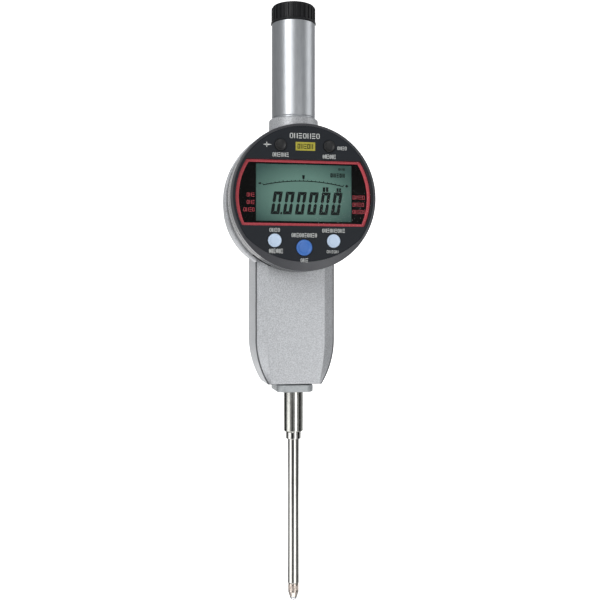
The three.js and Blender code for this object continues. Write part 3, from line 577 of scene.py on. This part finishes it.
def drum_solid():
    front, straight = DRUM["front"], DRUM["straight"]
    profile = [(0, front), (DRUM_RADIUS, front), (DRUM_RADIUS, straight)]
    profile += [(DRUM["back_radius"], BACK), (0, BACK)]
    return about_display("drum", profile, edge=0.6)


def drum_cavity():
    inner, narrow, web, end = DRUM_RADIUS - WALL, DRUM["back_radius"] - WALL, DRUM["web"], BACK + PAST
    profile = [(0, web), (inner, web), (inner, DRUM["straight"]), (narrow, end), (0, end)]
    return about_display("cavity", profile)


def boss_solid():
    radius, bottom, top = BOSS["radius"], BOSS["bottom"], case_high.z
    profile = [(0, bottom), (radius, bottom), (radius, top), (0, top)]
    return turned("boss", profile, edge=BOSS["chamfer"])


def stop_groove():
    """The groove that the display's stop pin runs in, with its land at the bottom."""
    front, depth, inner, outer = DRUM["front"], 1.2, 18.9, 21.1
    ring = about_display("groove", ring_section(inner, outer, front - PAST, front + depth))
    return cut(ring, spoke(-90, inner - PAST, outer + PAST, front - 2 * PAST, front + 2 * PAST, half=5.2))


def cover_room():
    low, room = 50, 0.15
    side = CASE_HALF + room
    return block("cover_room", (-side, DRUM["front"] - PAST, low), (side, SEAM, COVER["top"] + room))


def collar_room():
    side, back, top = NECK["half"] + ROOM, NECK["back"] + ROOM, 14.2
    return block("collar_room", (-side, SEAM - PAST, CASE_BOTTOM - PAST), (side, back, top))


def case_shell():
    shell = slab("case_shell", body_outline(CASE), SEAM, BACK)
    join(shell, drum_solid(), boss_solid())
    cut(
        shell,
        slab("hollow", body_outline(inset(CASE, WALL)), SEAM - PAST, BACK + PAST),
        drum_cavity(),
        cover_room(),
        disc(0, DIAL_Z, DIAL_RADIUS + DISPLAY_ROOM, bezel_low.y, DRUM["front"], AROUND),
        disc(0, DIAL_Z, DRUM["hole"], DRUM["front"] - PAST, DRUM["web"] + PAST, AROUND),
        stop_groove(),
        pillar(BOSS["bore"], BOSS["bottom"], case_high.z - PAST),
        pillar(BOSS["tube"], BOSS["seat"], case_high.z + PAST),
        collar_room(),
        disc(0, z=117.2, radius=1.4, front=8.5, back=11),
    )
    join(shell, *screw_holes(BACK_SCREWS, radius=2.3, front=9, back=BACK))
    cut(shell, *screw_holes(BACK_SCREWS, SCREW_HOLE, front=9.5, back=BACK + PAST))
    place(shell, "satin_paint", "satin_paint", "housing", "rear_case")


def cover_shell():
    """The raised front of the lower case, with its sloping sides."""
    wall, side_wall = 1.7, 3.2
    rim = dict(inset(COVER_TOP_RIM, RIM_STEP), top=cover_high.z)
    shell = loft("cover_shell", body_outline(COVER), cover_low.y, body_outline(rim), cover_high.y)
    bevel(shell, width=0.4, angle=22)
    cut(shell, slab("hollow", body_outline(inset(COVER_TOP_RIM, side_wall)), cover_low.y + wall, SEAM))
    place(shell, "satin_paint", "satin_paint", "housing", "front_cover")


def painted_seam_shade():
    """A flat strip between the cover and the rear case, whose dark grey paints the shade in the seam as a
    dark line.
    """
    step, width, gap = 0.06, 2.2, 0.02
    outline = body_outline(dict(inset(COVER_TOP_RIM, step), top=cover_high.z))
    seam_shade = slab("painted_seam_shade", outline, cover_high.y + gap, SEAM - gap)
    cut(seam_shade, slab("hollow", body_outline(inset(COVER_TOP_RIM, width)), cover_high.y - PAST, SEAM + PAST))
    place(seam_shade, "seam_shade", "rubber", "housing")


def back_plate():
    front, back = back_low.y, back_high.y
    plate = slab("back_plate", body_outline(CASE), front, back)
    join(plate, disc(0, DIAL_Z, DRUM["back_radius"], front, back, AROUND))
    bevel(plate, width=0.8, angle=40)
    cut(plate, *screw_holes(BACK_SCREWS, SCREW_HOLE, front - PAST, back + PAST))
    cut(plate, *screw_holes(BACK_SCREWS, radius=1.95, front=SCREW_SEAT - ROOM, back=back + PAST))
    place(plate, "satin_paint", "satin_paint", "housing", "back_cover")


def socket_screw(name, node, shank, head, seat):
    """A screw along Y with a rounded head and a hexagon socket at its back end."""
    low, high = span(node)
    centre, tip, end = (low + high) / 2, low.y, high.y
    section = [(0, tip), (shank, tip), (shank, seat), (head, seat), (head, end), (0, end)]
    piece = turned(name, section, "Y", SMALL_AROUND, (centre.x, 0, centre.z), edge=0.18)
    socket, depth = 0.52 * head, 0.55 * head
    cut(piece, disc(centre.x, centre.z, socket, end - depth, end + PAST, segments=6))
    place(piece, "plain_steel", "plain_steel", "housing", node)


def case_screws():
    for i in range(1, len(BACK_SCREWS) + 1):
        socket_screw(f"cover_screw_{i}", f"back_screw_{i}", shank=0.9, head=1.8, seat=SCREW_SEAT)
    socket_screw("grub_screw", "tube_set_screw", shank=1.3, head=1.3, seat=9.4)


# ---------- stem and spindle ----------

def collar():
    half, front, back, corner = COLLAR.values()
    top, sunk = CASE_BOTTOM - OVERLAP, 0.6
    piece = prism("collar", rounded_plan(half, front, back, corner), collar_low.z, top)
    bevel(piece, width=0.5, segments=2, angle=50)
    neck_low = (-NECK["half"], NECK["front"], top - sunk)
    neck = block("neck", neck_low, (NECK["half"], NECK["back"], NECK["top"]))
    tongue_low = (-TONGUE["half"], TONGUE["front"], NECK["top"] - OVERLAP)
    tongue = block("tongue", tongue_low, (TONGUE["half"], TONGUE["back"], collar_high.z))
    join(piece, neck, tongue)
    front, back, z, radius = TONGUE["front"] - PAST, TONGUE["back"] + PAST, TONGUE["screw_z"], TONGUE["hole"]
    holes = [disc(side * TONGUE["screw_x"], z, radius, front, back) for side in (-1, 1)]
    stem_hole = pillar(radius=4.05, low=collar_low.z - PAST, high=stem_high.z + 0.05)
    spindle_hole = pillar(radius=3.05, low=collar_low.z, high=NECK["top"] + PAST)
    cut(piece, stem_hole, spindle_hole, *holes)
    place(piece, "collar_alloy", "alloy", "housing", "stem_block")


def stem_pieces():
    """The plain stem, and the ring on its lower end with a sleeve that goes up into it."""
    bore = 3.1
    stem = turned("stem_sleeve", ring_section(bore, stem_high.x, stem_low.z, stem_high.z), edge=0.45)
    place(stem, "stem_steel", "polished_steel", "housing", "stem")
    bore, sleeve, outer = 2.45, 3, ring_high.x
    low, step, top = ring_low.z, stem_low.z - OVERLAP, ring_high.z
    section = [(bore, low), (outer, low), (outer, step), (sleeve, step), (sleeve, top), (bore, top)]
    ring = turned("end_ring", section, edge=0.35)
    place(ring, "polished_steel", "polished_steel", "housing", "stem_end_ring")


def spindle_rod():
    radius, low, top = rod_high.x, rod_low.z, rod_high.z
    hole, depth = 1.2, 5
    section = [(0, low + depth), (hole, low + depth), (hole, low), (radius, low), (radius, top), (0, top)]
    rod = turned("spindle_rod", section, edge=0.25)
    place(rod, "polished_steel", "polished_steel", "measuring_spindle", "spindle")


def contact_tip():
    """The contact point: a knurled barrel between two plain bands, a cone, and a cup for the ball."""
    radius, top = tip_high.x, rod_low.z - OVERLAP
    barrel_end, cone_end, cone_radius = top - 3.6, top - 6.1, 1.4
    stud, stud_top = 1.1, tip_high.z
    profile = [(0, stud_top), (stud, stud_top), (stud, top), (radius, top)]
    profile += [(radius, barrel_end), (cone_radius, cone_end), (0, cone_end)]
    tip = turned("contact_tip", profile, edge=0.16)
    grooves, knurl_low, knurl_high = 24, top - 2.9, top - 0.9
    cutters = []
    for i in range(grooves):
        angle = 2 * math.pi * i / grooves
        cutter = pillar(0.17, knurl_low, knurl_high, segments=6)
        cutter.data.transform(Matrix.Translation(Vector((math.cos(angle), math.sin(angle), 0)) * radius * MM))
        cutters.append(cutter)
    cut(tip, *cutters)
    cut(tip, ball("tool", ROOM))
    place(tip, "tip_steel", "polished_steel", "measuring_spindle", "contact_point")
    place(ball("contact_bead"), "carbide", "carbide", "measuring_spindle", "contact_ball")


def ball(name, grow=0.0):
    centre = (ball_high.z + ball_low.z) / 2
    radius = (ball_high.z - ball_low.z) / 2 + grow
    steps = 28
    angles = [math.pi * i / steps for i in range(steps + 1)]
    profile = [(radius * math.sin(a), centre - radius * math.cos(a)) for a in angles]
    return turned(name, profile, "Z", SMALL_AROUND)


def tube():
    bore, radius = 7.8, tube_high.x
    groove, low, high = 8.7, 120.7, 121.2
    section = [(bore, tube_low.z), (radius, tube_low.z), (radius, low), (groove, low)]
    section += [(groove, high), (radius, high), (radius, tube_high.z), (bore, tube_high.z)]
    sleeve = turned("tube_sleeve", section, edge=0.15)
    place(sleeve, "satin_aluminium", "alloy", "housing", "spindle_tube")


def knurled_cap():
    """The black cap: a smooth lip, a ribbed grip and a rounded top edge, with a hollow spigot below."""
    lip_low, lip_high, top = tube_high.z + OVERLAP, tube_high.z + 0.95, cap_high.z
    root, rib, lip = 8.62, 9.12, cap_high.x
    roof, bore, spigot = top - 2, 5.5, 7.65
    profile = [(0, roof), (bore, roof), (bore, cap_low.z), (spigot, cap_low.z), (spigot, lip_low)]
    profile += [(lip, lip_low), (lip, lip_high), (root, lip_high), (root, top), (0, top)]
    cap = turned("knurled_cap", profile, edge=0.35)
    ribs, inside, foot, crest = 28, root - 1, 0.55, 0.42
    plan = rounded([(inside, -foot), (rib, -crest), (rib, crest), (inside, foot)], reach=0.2, steps=3)
    rib_low, rib_high = lip_high - 0.3, top - 0.7
    bars = []
    for i in range(ribs):
        bar = prism("bar", plan, rib_low, rib_high)
        bar.data.transform(Matrix.Rotation(2 * math.pi * i / ribs, 4, "Z"))
        bars.append(bar)
    join(cap, *bars)
    place(cap, "black_plastic", "black_plastic", "cap", "tube_cap")


# ---------- display ----------

def display_shell():
    front, back, wall, neck, bore, end = SHELL.values()
    groove, groove_front, groove_back = SHELL_GROOVE.values()
    floor, inner = back - wall, DIAL_RADIUS - wall
    section = [(bore, end), (bore, floor), (inner, floor), (inner, front), (DIAL_RADIUS, front)]
    section += [(DIAL_RADIUS, back), (neck, back), (neck, groove_front), (groove, groove_front)]
    section += [(groove, groove_back), (neck, groove_back), (neck, end)]
    shell = about_display("display_shell", section, edge=0.3)
    join(shell, *screw_holes(DISPLAY_SCREWS, DISPLAY_POST, front + OVERLAP, floor + OVERLAP))
    outside = DIAL_RADIUS + PAST
    lid_span = (lid_low.y - ROOM, lid_high.y + ROOM)
    port_span = (PORT["front"] - ROOM, PORT["back"] + ROOM)
    cut(
        shell,
        *screw_holes(DISPLAY_SCREWS, DISPLAY_HOLE, front - PAST, back + PAST),
        *screw_holes(DISPLAY_SCREWS, radius=1.8, front=-10.5, back=back + PAST),
        disc(0, z=DIAL_Z + 20, radius=0.9, front=floor - PAST, back=back + PAST),
        spoke(LID["turn"], LID["seat"], outside, *lid_span, half=LID["half"] + ROOM),
        spoke(PORT["turn"], PORT["inner"] - ROOM, outside, *port_span, half=PORT["half"] + ROOM),
    )
    place(shell, "side_wall", "dark_rim", "display", "display_case")


def plate_blank(name, grow, front, back):
    """The round face, less the crescent that a wider circle leaves at its bottom."""
    blank = disc(0, DIAL_Z, PLATE["radius"] + grow, front, back, AROUND, name)
    centre, radius = DIAL_Z + CRESCENT["offset"], CRESCENT["radius"] + grow
    return keep_inside(blank, disc(0, centre, radius, front - PAST, back + PAST, 2 * AROUND))


def bezel_rim():
    """The bezel, with a crescent that slopes down to the face, and posts for the display's screws."""
    front, back = bezel_low.y, bezel_high.y
    profile = [(0, front), (DIAL_RADIUS, front), (DIAL_RADIUS, back), (0, back)]
    rim = about_display("bezel_rim", rounded(profile, reach=0.7, steps=6, closed=False), 2 * AROUND)
    slope = CRESCENT["width"] / CRESCENT["drop"]
    near = CRESCENT["radius"] + 0.2
    narrow, wide = near - slope * PAST, near + slope * (back - front)
    profile = [(0, front - PAST), (narrow, front - PAST), (wide, back), (0, back)]
    keep_inside(rim, about_display("cone", profile, 2 * AROUND, rise=CRESCENT["offset"]))
    cut(
        rim,
        plate_blank("blank", ROOM, front - 2 * PAST, PLATE["back"] + ROOM),
        disc(0, DIAL_Z, PLATE["bore"], PLATE["back"], back + PAST, AROUND),
    )
    post_front, hole_front = front + 1.8, front + 2.3
    join(rim, *screw_holes(DISPLAY_SCREWS, DISPLAY_POST, post_front, back))
    cut(rim, *screw_holes(DISPLAY_SCREWS, DISPLAY_HOLE, hole_front, back + PAST))
    place(rim, "dark_rim", "dark_rim", "display", "display_bezel")


def key_seats():
    """Centre and radius of each key's round cap, from the frame."""
    seats = {}
    for node in KEYS:
        low, high = span(node)
        centre = (low + high) / 2
        seats[node] = (centre.x, centre.z, (high.x - low.x) / 2 - KEY_COLLAR)
    return seats


def face_panel():
    front, back, key_room = FACE - PAST, PLATE["back"] + PAST, 0.15
    panel = plate_blank("face_panel", 0, FACE, PLATE["back"])
    outline = window_outline(PANE["radius"] + ROOM, PANE["low"] - ROOM, PANE["high"] + ROOM)
    holes = [disc(x, z, radius + key_room, front, back) for x, z, radius in key_seats().values()]
    cut(panel, slab("opening", outline, front, back, DIAL_Z), *holes)
    bevel(panel, width=0.12, segments=2, angle=50)
    place(panel, "face_panel", "face_panel", "display", "face_plate")


def key_pieces():
    """The keys: a slightly dished cap, a collar behind the face, and a stud that presses the keypad."""
    collar_front, collar_back, stud = FACE + 1.75, FACE + 2.55, 1.2
    for node, (x, z, radius) in key_seats().items():
        low, high = span(node)
        dish, flange = low.y + 0.3, radius + KEY_COLLAR
        profile = [(0, dish), (radius * 0.6, dish - 0.02), (radius * 0.82, low.y), (radius, low.y)]
        profile += [(radius, collar_front), (flange, collar_front), (flange, collar_back)]
        profile += [(stud, collar_back), (stud, high.y), (0, high.y)]
        name = node.replace("_button", "_key")
        key = turned(name, profile, "Y", SMALL_AROUND * 2, (x, 0, z), edge=0.28)
        place(key, KEYS[node], KEYS[node], node, node)


# The window: a clear pane, and behind it a printed mask with a red frame and a rectangular opening.
VIEW = {"left": -18.7, "right": 19.2, "low": -9.3, "high": 12.85}
MASK_FRONT = pane_high.y + 0.06
MASK_BACK = panel_low.y - 0.06
FRAME = {"side": 1.25, "level": 1}  # widths of the red frame
INK = 0.04  # thickness of a print


def window_pieces():
    outline = window_outline(PANE["radius"], PANE["low"], PANE["high"])
    pane = slab("window_pane", outline, pane_low.y, pane_high.y, DIAL_Z)
    bevel(pane, width=0.1, segments=2, angle=40)
    place(pane, "window_glass", "window_glass", "display", "window_lens")
    mask = slab("window_mask", outline, MASK_FRONT, MASK_BACK, DIAL_Z)
    opening_low = (VIEW["left"], MASK_FRONT - PAST, VIEW["low"] + DIAL_Z)
    opening = block("opening", opening_low, (VIEW["right"], MASK_BACK + PAST, VIEW["high"] + DIAL_Z))
    place(cut(mask, opening), "black_mask", "face_panel", "display")
    ring = slab("window_frame", outline, MASK_FRONT - INK, MASK_FRONT, DIAL_Z)
    side, level = FRAME["side"], FRAME["level"]
    smaller = window_outline(PANE["radius"] - side, PANE["low"] + level, PANE["high"] - level)
    inner = slab("inner", smaller, MASK_FRONT - INK - PAST, MASK_FRONT + PAST, DIAL_Z)
    place(cut(ring, inner), "red_print", "face_panel", "display")


def flat_pieces(name, outlines, front, thickness, look, slot):
    """One piece of many small flat outlines, such as printed marks."""
    bm = bmesh.new()
    for outline in outlines:
        ends = [[(x, y, z + DIAL_Z) for x, z in outline] for y in (front, front + thickness)]
        add_solid(bm, *ends)
    place(finish_mesh(name, bm), look, slot, "display")


def word(x, z, width, height, marks, bold=0.15):
    """A row of plain marks as large as a printed word: frames, posts and bars, by turns."""
    pitch, margin = width / marks, 0.12 * width / marks
    stroke = bold * height
    low, high = z - height / 2, z + height / 2
    strokes = []
    for i in range(marks):
        left = x - width / 2 + i * pitch + margin
        right = left + pitch - 2 * margin
        posts = [box_outline(left, left + stroke, low, high), box_outline(right - stroke, right, low, high)]
        bars = [box_outline(left, right, low, low + stroke), box_outline(left, right, high - stroke, high)]
        bar_between = box_outline(left, right, z - stroke / 2, z + stroke / 2)
        strokes += (posts + bars, posts, bars + [bar_between])[i % 3]
    return strokes


# The reading: noughts of six segments each, leaning to the right.
DIGIT = {"width": 3.4, "height": 8.8, "stroke": 1.2, "gap": 0.05, "pitch": 4.76, "lean": 0.155, "count": 6}
READING = {"left": -12.95, "low": -6.65}
POINT = {"left": -0.98, "right": -0.36, "height": 0.9}


def nought():
    """The outlines of a nought's six segments, upright and with its foot at 0."""
    width, height, stroke, gap = DIGIT["width"], DIGIT["height"], DIGIT["stroke"], DIGIT["gap"]
    waist = height / 2 + gap
    top = [(gap, height), (width - gap, height)]
    top += [(width - stroke - gap, height - stroke), (stroke + gap, height - stroke)]
    left = [(0, height - gap), (stroke, height - stroke - gap), (stroke, waist + stroke / 2)]
    left += [(stroke / 2, waist), (0, waist + stroke / 2)]
    upper = [top, left, [(width - x, z) for x, z in left]]
    return upper + [[(x, height - z) for x, z in outline] for outline in upper]


def leaning(outline, left):
    return [(x + left + z * DIGIT["lean"], z + READING["low"]) for x, z in outline]


def reading():
    """The noughts, with a decimal point after the first."""
    outlines = []
    for i in range(DIGIT["count"]):
        outlines += [leaning(outline, READING["left"] + i * DIGIT["pitch"]) for outline in nought()]
    point = box_outline(POINT["left"], POINT["right"], 0, POINT["height"])
    return outlines + [leaning(point, READING["left"] + DIGIT["pitch"])]


ARC = {"radius": 70, "top": 6.4, "half_angle": 13.1, "steps": 24, "stroke": 0.17}
TICKS = {"count": 20, "long": 0.7, "short": 0.45, "half": 0.09}  # every fifth one is long; half is in degrees
POINTERS = [
    [(-17.9, 5.2), (-17, 5.65), (-16.4, 5.2), (-17, 4.75)],
    [(18, 4.8), (17.3, 5.4), (16.6, 4.8), (17.3, 4.2)],
    [(-0.55, 8.7), (0.55, 8.7), (0.35, 7.2), (-0.35, 7.2)],
]


def arc_scale():
    """The analogue bar above the figures: a thin arc with ticks, and a mark over its middle and each end."""
    radius, centre, stroke, half = ARC["radius"], ARC["top"] - ARC["radius"], ARC["stroke"], ARC["half_angle"]

    def at(reach, degrees):
        angle = math.radians(degrees)
        return (reach * math.sin(angle), centre + reach * math.cos(angle))

    def sector(low, high, first, last):
        return [at(low, first), at(low, last), at(high, last), at(high, first)]

    bounds = [half * (2 * i / ARC["steps"] - 1) for i in range(ARC["steps"] + 1)]
    outlines = [sector(radius - stroke, radius + stroke, a, b) for a, b in zip(bounds, bounds[1:])]
    for i in range(TICKS["count"] + 1):
        angle = half * (2 * i / TICKS["count"] - 1)
        tall = TICKS["short"] if i % 5 else TICKS["long"]
        outlines.append(sector(radius + stroke, radius + tall, angle - TICKS["half"], angle + TICKS["half"]))
    return outlines + POINTERS


# Rows of marks in place of words: middle x and z, width, height, number of marks, boldness.
LCD_WORDS = [(13.6, 8.9, 6, 1.6, 5, 0.24), (15.2, 11.3, 2.8, 0.8, 3, 0.24)]
LCD_WORDS += [(8.8, 3.3, 2.5, 1.8, 2, 0.26), (14.1, 3.1, 2, 1.6, 2, 0.26)]
NAME_ROW = (0.2, 23.7, 12.2, 2, 7)
BADGE = {"outline": (-3.4, 4.3, 18, 21.3), "row": (0.4, 19.65, 6.4, 1.9, 5)}
# Those beside the keys, from each key's middle.
KEY_WORDS = {
    "power_button": [(0, -3.8, 6.5, 1.6, 6)],
    "menu_button": [(0, -4, 5.4, 1.6, 6), (5.1, -0.6, 3.9, 1.4, 4)],
    "preset_button": [(0, 4, 4.3, 1.5, 4), (0.5, -4.1, 5.6, 1.7, 6)],
    "zero_button": [(0, 4.8, 10.2, 1.6, 10), (0, -4.9, 3.1, 1.5, 3)],
    "hold_button": [(0, 4, 9.2, 1.5, 9), (-0.4, -4.2, 4.8, 1.1, 5)],
}
# Those beside the window: where they end next to it, and the widths of each row at left and right.
SIDE_ROWS = {"left": -19.15, "right": 19.5, "height": 1.5, "bold": 0.11}
SIDE_WIDTHS = [(3.2, 5.1), (3.2, 4.8), (4.5, 5.2)]


def lcd_marks():
    marks = reading() + arc_scale()
    for row in LCD_WORDS:
        marks += word(*row)
    flat_pieces("lcd_marks", marks, panel_low.y - 0.05, INK, "segment_print", "liquid_crystal")


def red_marks():
    marks = []
    left_end, right_end, height, bold = SIDE_ROWS.values()
    for row, (left, right) in enumerate(SIDE_WIDTHS):
        left_z, right_z, more = 0.7 - 2.86 * row, 0.4 - 2.83 * row, row // 2
        marks += word(left_end - left / 2, left_z, left, height, 3 + more, bold)
        marks += word(right_end + right / 2, right_z, right, height, 4 + more, bold)
    flat_pieces("red_marks", marks, MASK_FRONT - INK, INK, "red_print", "face_panel")


def face_marks():
    """Plain marks where the printed words are, and a plain badge."""
    seats = {name: (x, z - DIAL_Z) for name, (x, z, _) in key_seats().items()}
    x, z = seats["power_button"]
    marks = [[(x - 6.9, z), (x - 5.4, z - 0.35), (x - 3.4, z), (x - 5.4, z + 0.35)]]
    marks += [box_outline(x - 5.55, x - 5.25, z - 0.95, z + 0.95)]
    for name, rows in KEY_WORDS.items():
        x, z = seats[name]
        for right, up, *row in rows:
            marks += word(x + right, z + up, *row)
    front, thickness = FACE - 0.03, 0.05
    flat_pieces("face_marks", marks, front, thickness, "white_print", "face_panel")
    flat_pieces("name_bar", word(*NAME_ROW), front, thickness, "white_print", "face_panel")
    flat_pieces("badge", [box_outline(*BADGE["outline"])], front, INK, "badge_print", "face_panel")
    flat_pieces("badge_marks", word(*BADGE["row"]), FACE - 0.05, INK, "segment_print", "face_panel")


def battery_lid():
    """The battery door: flush with the round wall, with a thumb groove and a tray for the cell."""
    front, back, turn, half = lid_low.y, lid_high.y, LID["turn"], LID["half"]
    lid = disc(0, DIAL_Z, DIAL_RADIUS, front, back, 2 * AROUND, "battery_lid")
    keep_inside(lid, spoke(turn, 24, DIAL_RADIUS + PAST, front, back, half))
    tray_start, tray_end, cell_seat = 17, 24.5, 5.9
    join(lid, spoke(turn, tray_start, tray_end, front, back, half, "tray"))
    cell = middle(span("battery_cell"))
    cut(lid, disc(cell.x, cell.z, cell_seat, front - PAST, back + PAST, SMALL_AROUND * 2))
    floor, groove_y, reach = DIAL_RADIUS - 0.45, (front + back) / 2, 0.4
    cut(lid, spoke(turn, floor, DIAL_RADIUS + PAST, groove_y - reach, groove_y + reach, half=4))
    place(lid, "side_wall", "dark_rim", "battery_door", "battery_hatch")


def socket_shell():
    """The data socket: a thin-walled box with a tongue for the contacts."""
    turn, half, inner, outer, front, back = PORT.values()
    wall, centre, floor, tongue, tongue_end = 0.7, (front + back) / 2, 23.5, 23, 27.1
    shell = spoke(turn, inner, outer, front, back, half, "socket_shell")
    bevel(shell, width=0.25, angle=40)
    cut(shell, spoke(turn, floor, outer + PAST, front + wall, back - wall, half - wall))
    join(shell, spoke(turn, tongue, tongue_end, centre - wall / 2, centre + wall / 2, half - 2 * wall))
    place(shell, "black_plastic", "black_plastic", "display", "data_socket")


# ---------- CAD nodes that stay, with finer materials ----------

KEPT = {
    "collar_alloy": ["upper_bridge", "scale_carrier", "spring_post"],
    "polished_steel": ["guide_pin", "return_spring"],
    "plain_steel": ["bridge_screw_1", "bridge_screw_2", "board_screw_1", "board_screw_2", "scale_screw",
                    "guide_rail", "stop_collar", "turn_stop_pin", "retaining_ring", "battery_cell",
                    "display_screw_1", "display_screw_2", "display_screw_3", "display_screw_4"],
    "bushing_bronze": ["lower_bushing", "middle_bushing", "upper_bushing", "friction_washer"],
    "scale_glass": ["scale_strip"],
    "liquid_crystal": ["lcd_panel"],
    "light_box": ["lcd_frame"],
    "circuit_board": ["main_board", "detector_board"],
    "rubber": ["contact_strip", "upper_keypad", "lower_keypad", "bumper_ring"],
    "black_plastic": ["detector_head"],
}


def kept_nodes():
    for look, names in KEPT.items():
        for name in names:
            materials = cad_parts[name].data.materials
            materials.clear()
            materials.append(LOOKS[look])


# ---------- studio ----------

FLOOR_DROP = 200  # from the spindle's end
FLOOR_WIDTH = 9000
SWEEP = {"near": 500, "wall": 1900, "curve": 400, "top": 1100, "half": 900, "steps": 24}
VIEW_TURN = 10  # degrees from the front towards -X
CAMERA = {"distance": 365, "height": 46, "lens": 52.8, "shift_x": 0.011}
TO_CAMERA = Vector((-math.sin(math.radians(VIEW_TURN)), -math.cos(math.radians(VIEW_TURN)), 0))
TO_RIGHT = Vector((-TO_CAMERA.y, TO_CAMERA.x, 0))


def around(degrees, distance, height):
    """A place round the object, in metres: 0 is towards the camera, and 90 to the right of the view."""
    angle = math.radians(degrees)
    level = (TO_CAMERA * math.cos(angle) + TO_RIGHT * math.sin(angle)) * distance
    return (level + Vector((0, 0, height))) * MM


def aim(thing, target):
    thing.rotation_mode = "QUATERNION"
    thing.rotation_quaternion = (target - thing.location).to_track_quat("-Z", "Y")


def camera():
    data = bpy.data.cameras.new("camera")
    made = bpy.data.objects.new("camera", data)
    bpy.context.scene.collection.objects.link(made)
    data.lens = CAMERA["lens"]
    data.sensor_width = 36
    data.shift_x = CAMERA["shift_x"]
    data.clip_start, data.clip_end = 0.01, 20
    made.location = around(0, CAMERA["distance"], CAMERA["height"])
    aim(made, Vector((0, 0, CAMERA["height"] * MM)))
    bpy.context.scene.camera = made


def softbox(name, degrees, distance, height, width, tall, power):
    data = bpy.data.lights.new(name, "AREA")
    data.shape = "RECTANGLE"
    data.size, data.size_y = width * MM, tall * MM
    data.energy = power
    made = bpy.data.objects.new(name, data)
    bpy.context.scene.collection.objects.link(made)
    made.location = around(degrees, distance, height)
    aim(made, Vector((0, 0, 0.05)))


def panel(name, width, tall):
    """A flat rectangle, level until it is aimed."""
    bm = bmesh.new()
    bmesh.ops.create_grid(bm, x_segments=1, y_segments=1, size=0.5)
    bmesh.ops.scale(bm, vec=(width, tall, 1), verts=bm.verts)
    return finish_mesh(name, bm)


def flag(name, degrees, distance, height, width, tall):
    """A dark panel that keeps light off one side and shows as a dark band in polished metal."""
    made = panel(name, width, tall)
    made.location = around(degrees, distance, height)
    aim(made, Vector((0, 0, height * MM)))
    made.data.materials.append(LOOKS["black_mask"])
    made.visible_camera = False


def pale(name, brightness):
    """White card or paper with a faint mottle, which may give off light as if it were lit from behind."""
    look = Look(name, roughness=0.9, specular=0.0)
    look.colour(look.noise(200), (232, 232, 232), (242, 242, 242))
    look.set(Emission_Color=(1, 1, 1, 1), Emission_Strength=brightness)
    return look.material


def floor():
    ground = panel("floor", FLOOR_WIDTH, FLOOR_WIDTH)
    ground.location.z = (rod_low.z - FLOOR_DROP) * MM
    ground.data.materials.append(pale("floor", 0.0))


def sweep():
    """A glowing white sheet that starts on the floor behind the object and curves up to a wall."""
    floor_z = rod_low.z - FLOOR_DROP + 1
    near, wall, curve, top, half, steps = SWEEP.values()
    line = [(near, floor_z)]
    for i in range(steps + 1):
        angle = math.pi / 2 * i / steps
        line.append((wall - curve + curve * math.sin(angle), floor_z + curve - curve * math.cos(angle)))
    line.append((wall, top))
    bm = bmesh.new()
    edges = []
    for side in (-half, half):
        points = [TO_RIGHT * side - TO_CAMERA * away + Vector((0, 0, z)) for away, z in line]
        edges.append([bm.verts.new(point) for point in points])
    for i in range(len(line) - 1):
        bm.faces.new((edges[0][i], edges[1][i], edges[1][i + 1], edges[0][i + 1]))
    sheet = finish_mesh("sweep", bm)
    sheet.data.materials.append(pale("sweep", 1.0))


def studio():
    world = bpy.data.worlds.new("studio")
    world.use_nodes = True
    sky = world.node_tree.nodes["Background"]
    sky.inputs["Color"].default_value = (0.97, 0.985, 1, 1)
    sky.inputs["Strength"].default_value = 0.33
    bpy.context.scene.world = world
    bpy.context.scene.view_settings.view_transform = "Standard"
    softbox("key", -31, 700, 430, 260, 460, 1.75)
    softbox("front", -12, 1100, 350, 400, 400, 1.2)
    softbox("right", 90, 900, 300, 500, 700, 1.3)
    softbox("low_left", -60, 480, -190, 340, 330, 0.55)
    softbox("low_right", 31, 600, -100, 220, 560, 0.9)
    softbox("bounce", 0, 60, -260, 240, 240, 0.3)
    flag("flag_front", -12, 330, -190, 130, 330)
    flag("flag_right", 84, 420, -120, 230, 520)
    flag("flag_left", -114, 420, -120, 230, 520)
    floor()
    sweep()
    camera()


# ---------- the whole object ----------

case_shell()
cover_shell()
painted_seam_shade()
back_plate()
case_screws()
collar()
stem_pieces()
spindle_rod()
contact_tip()
tube()
knurled_cap()
display_shell()
bezel_rim()
face_panel()
key_pieces()
window_pieces()
lcd_marks()
red_marks()
face_marks()
battery_lid()
socket_shell()
kept_nodes()
studio()
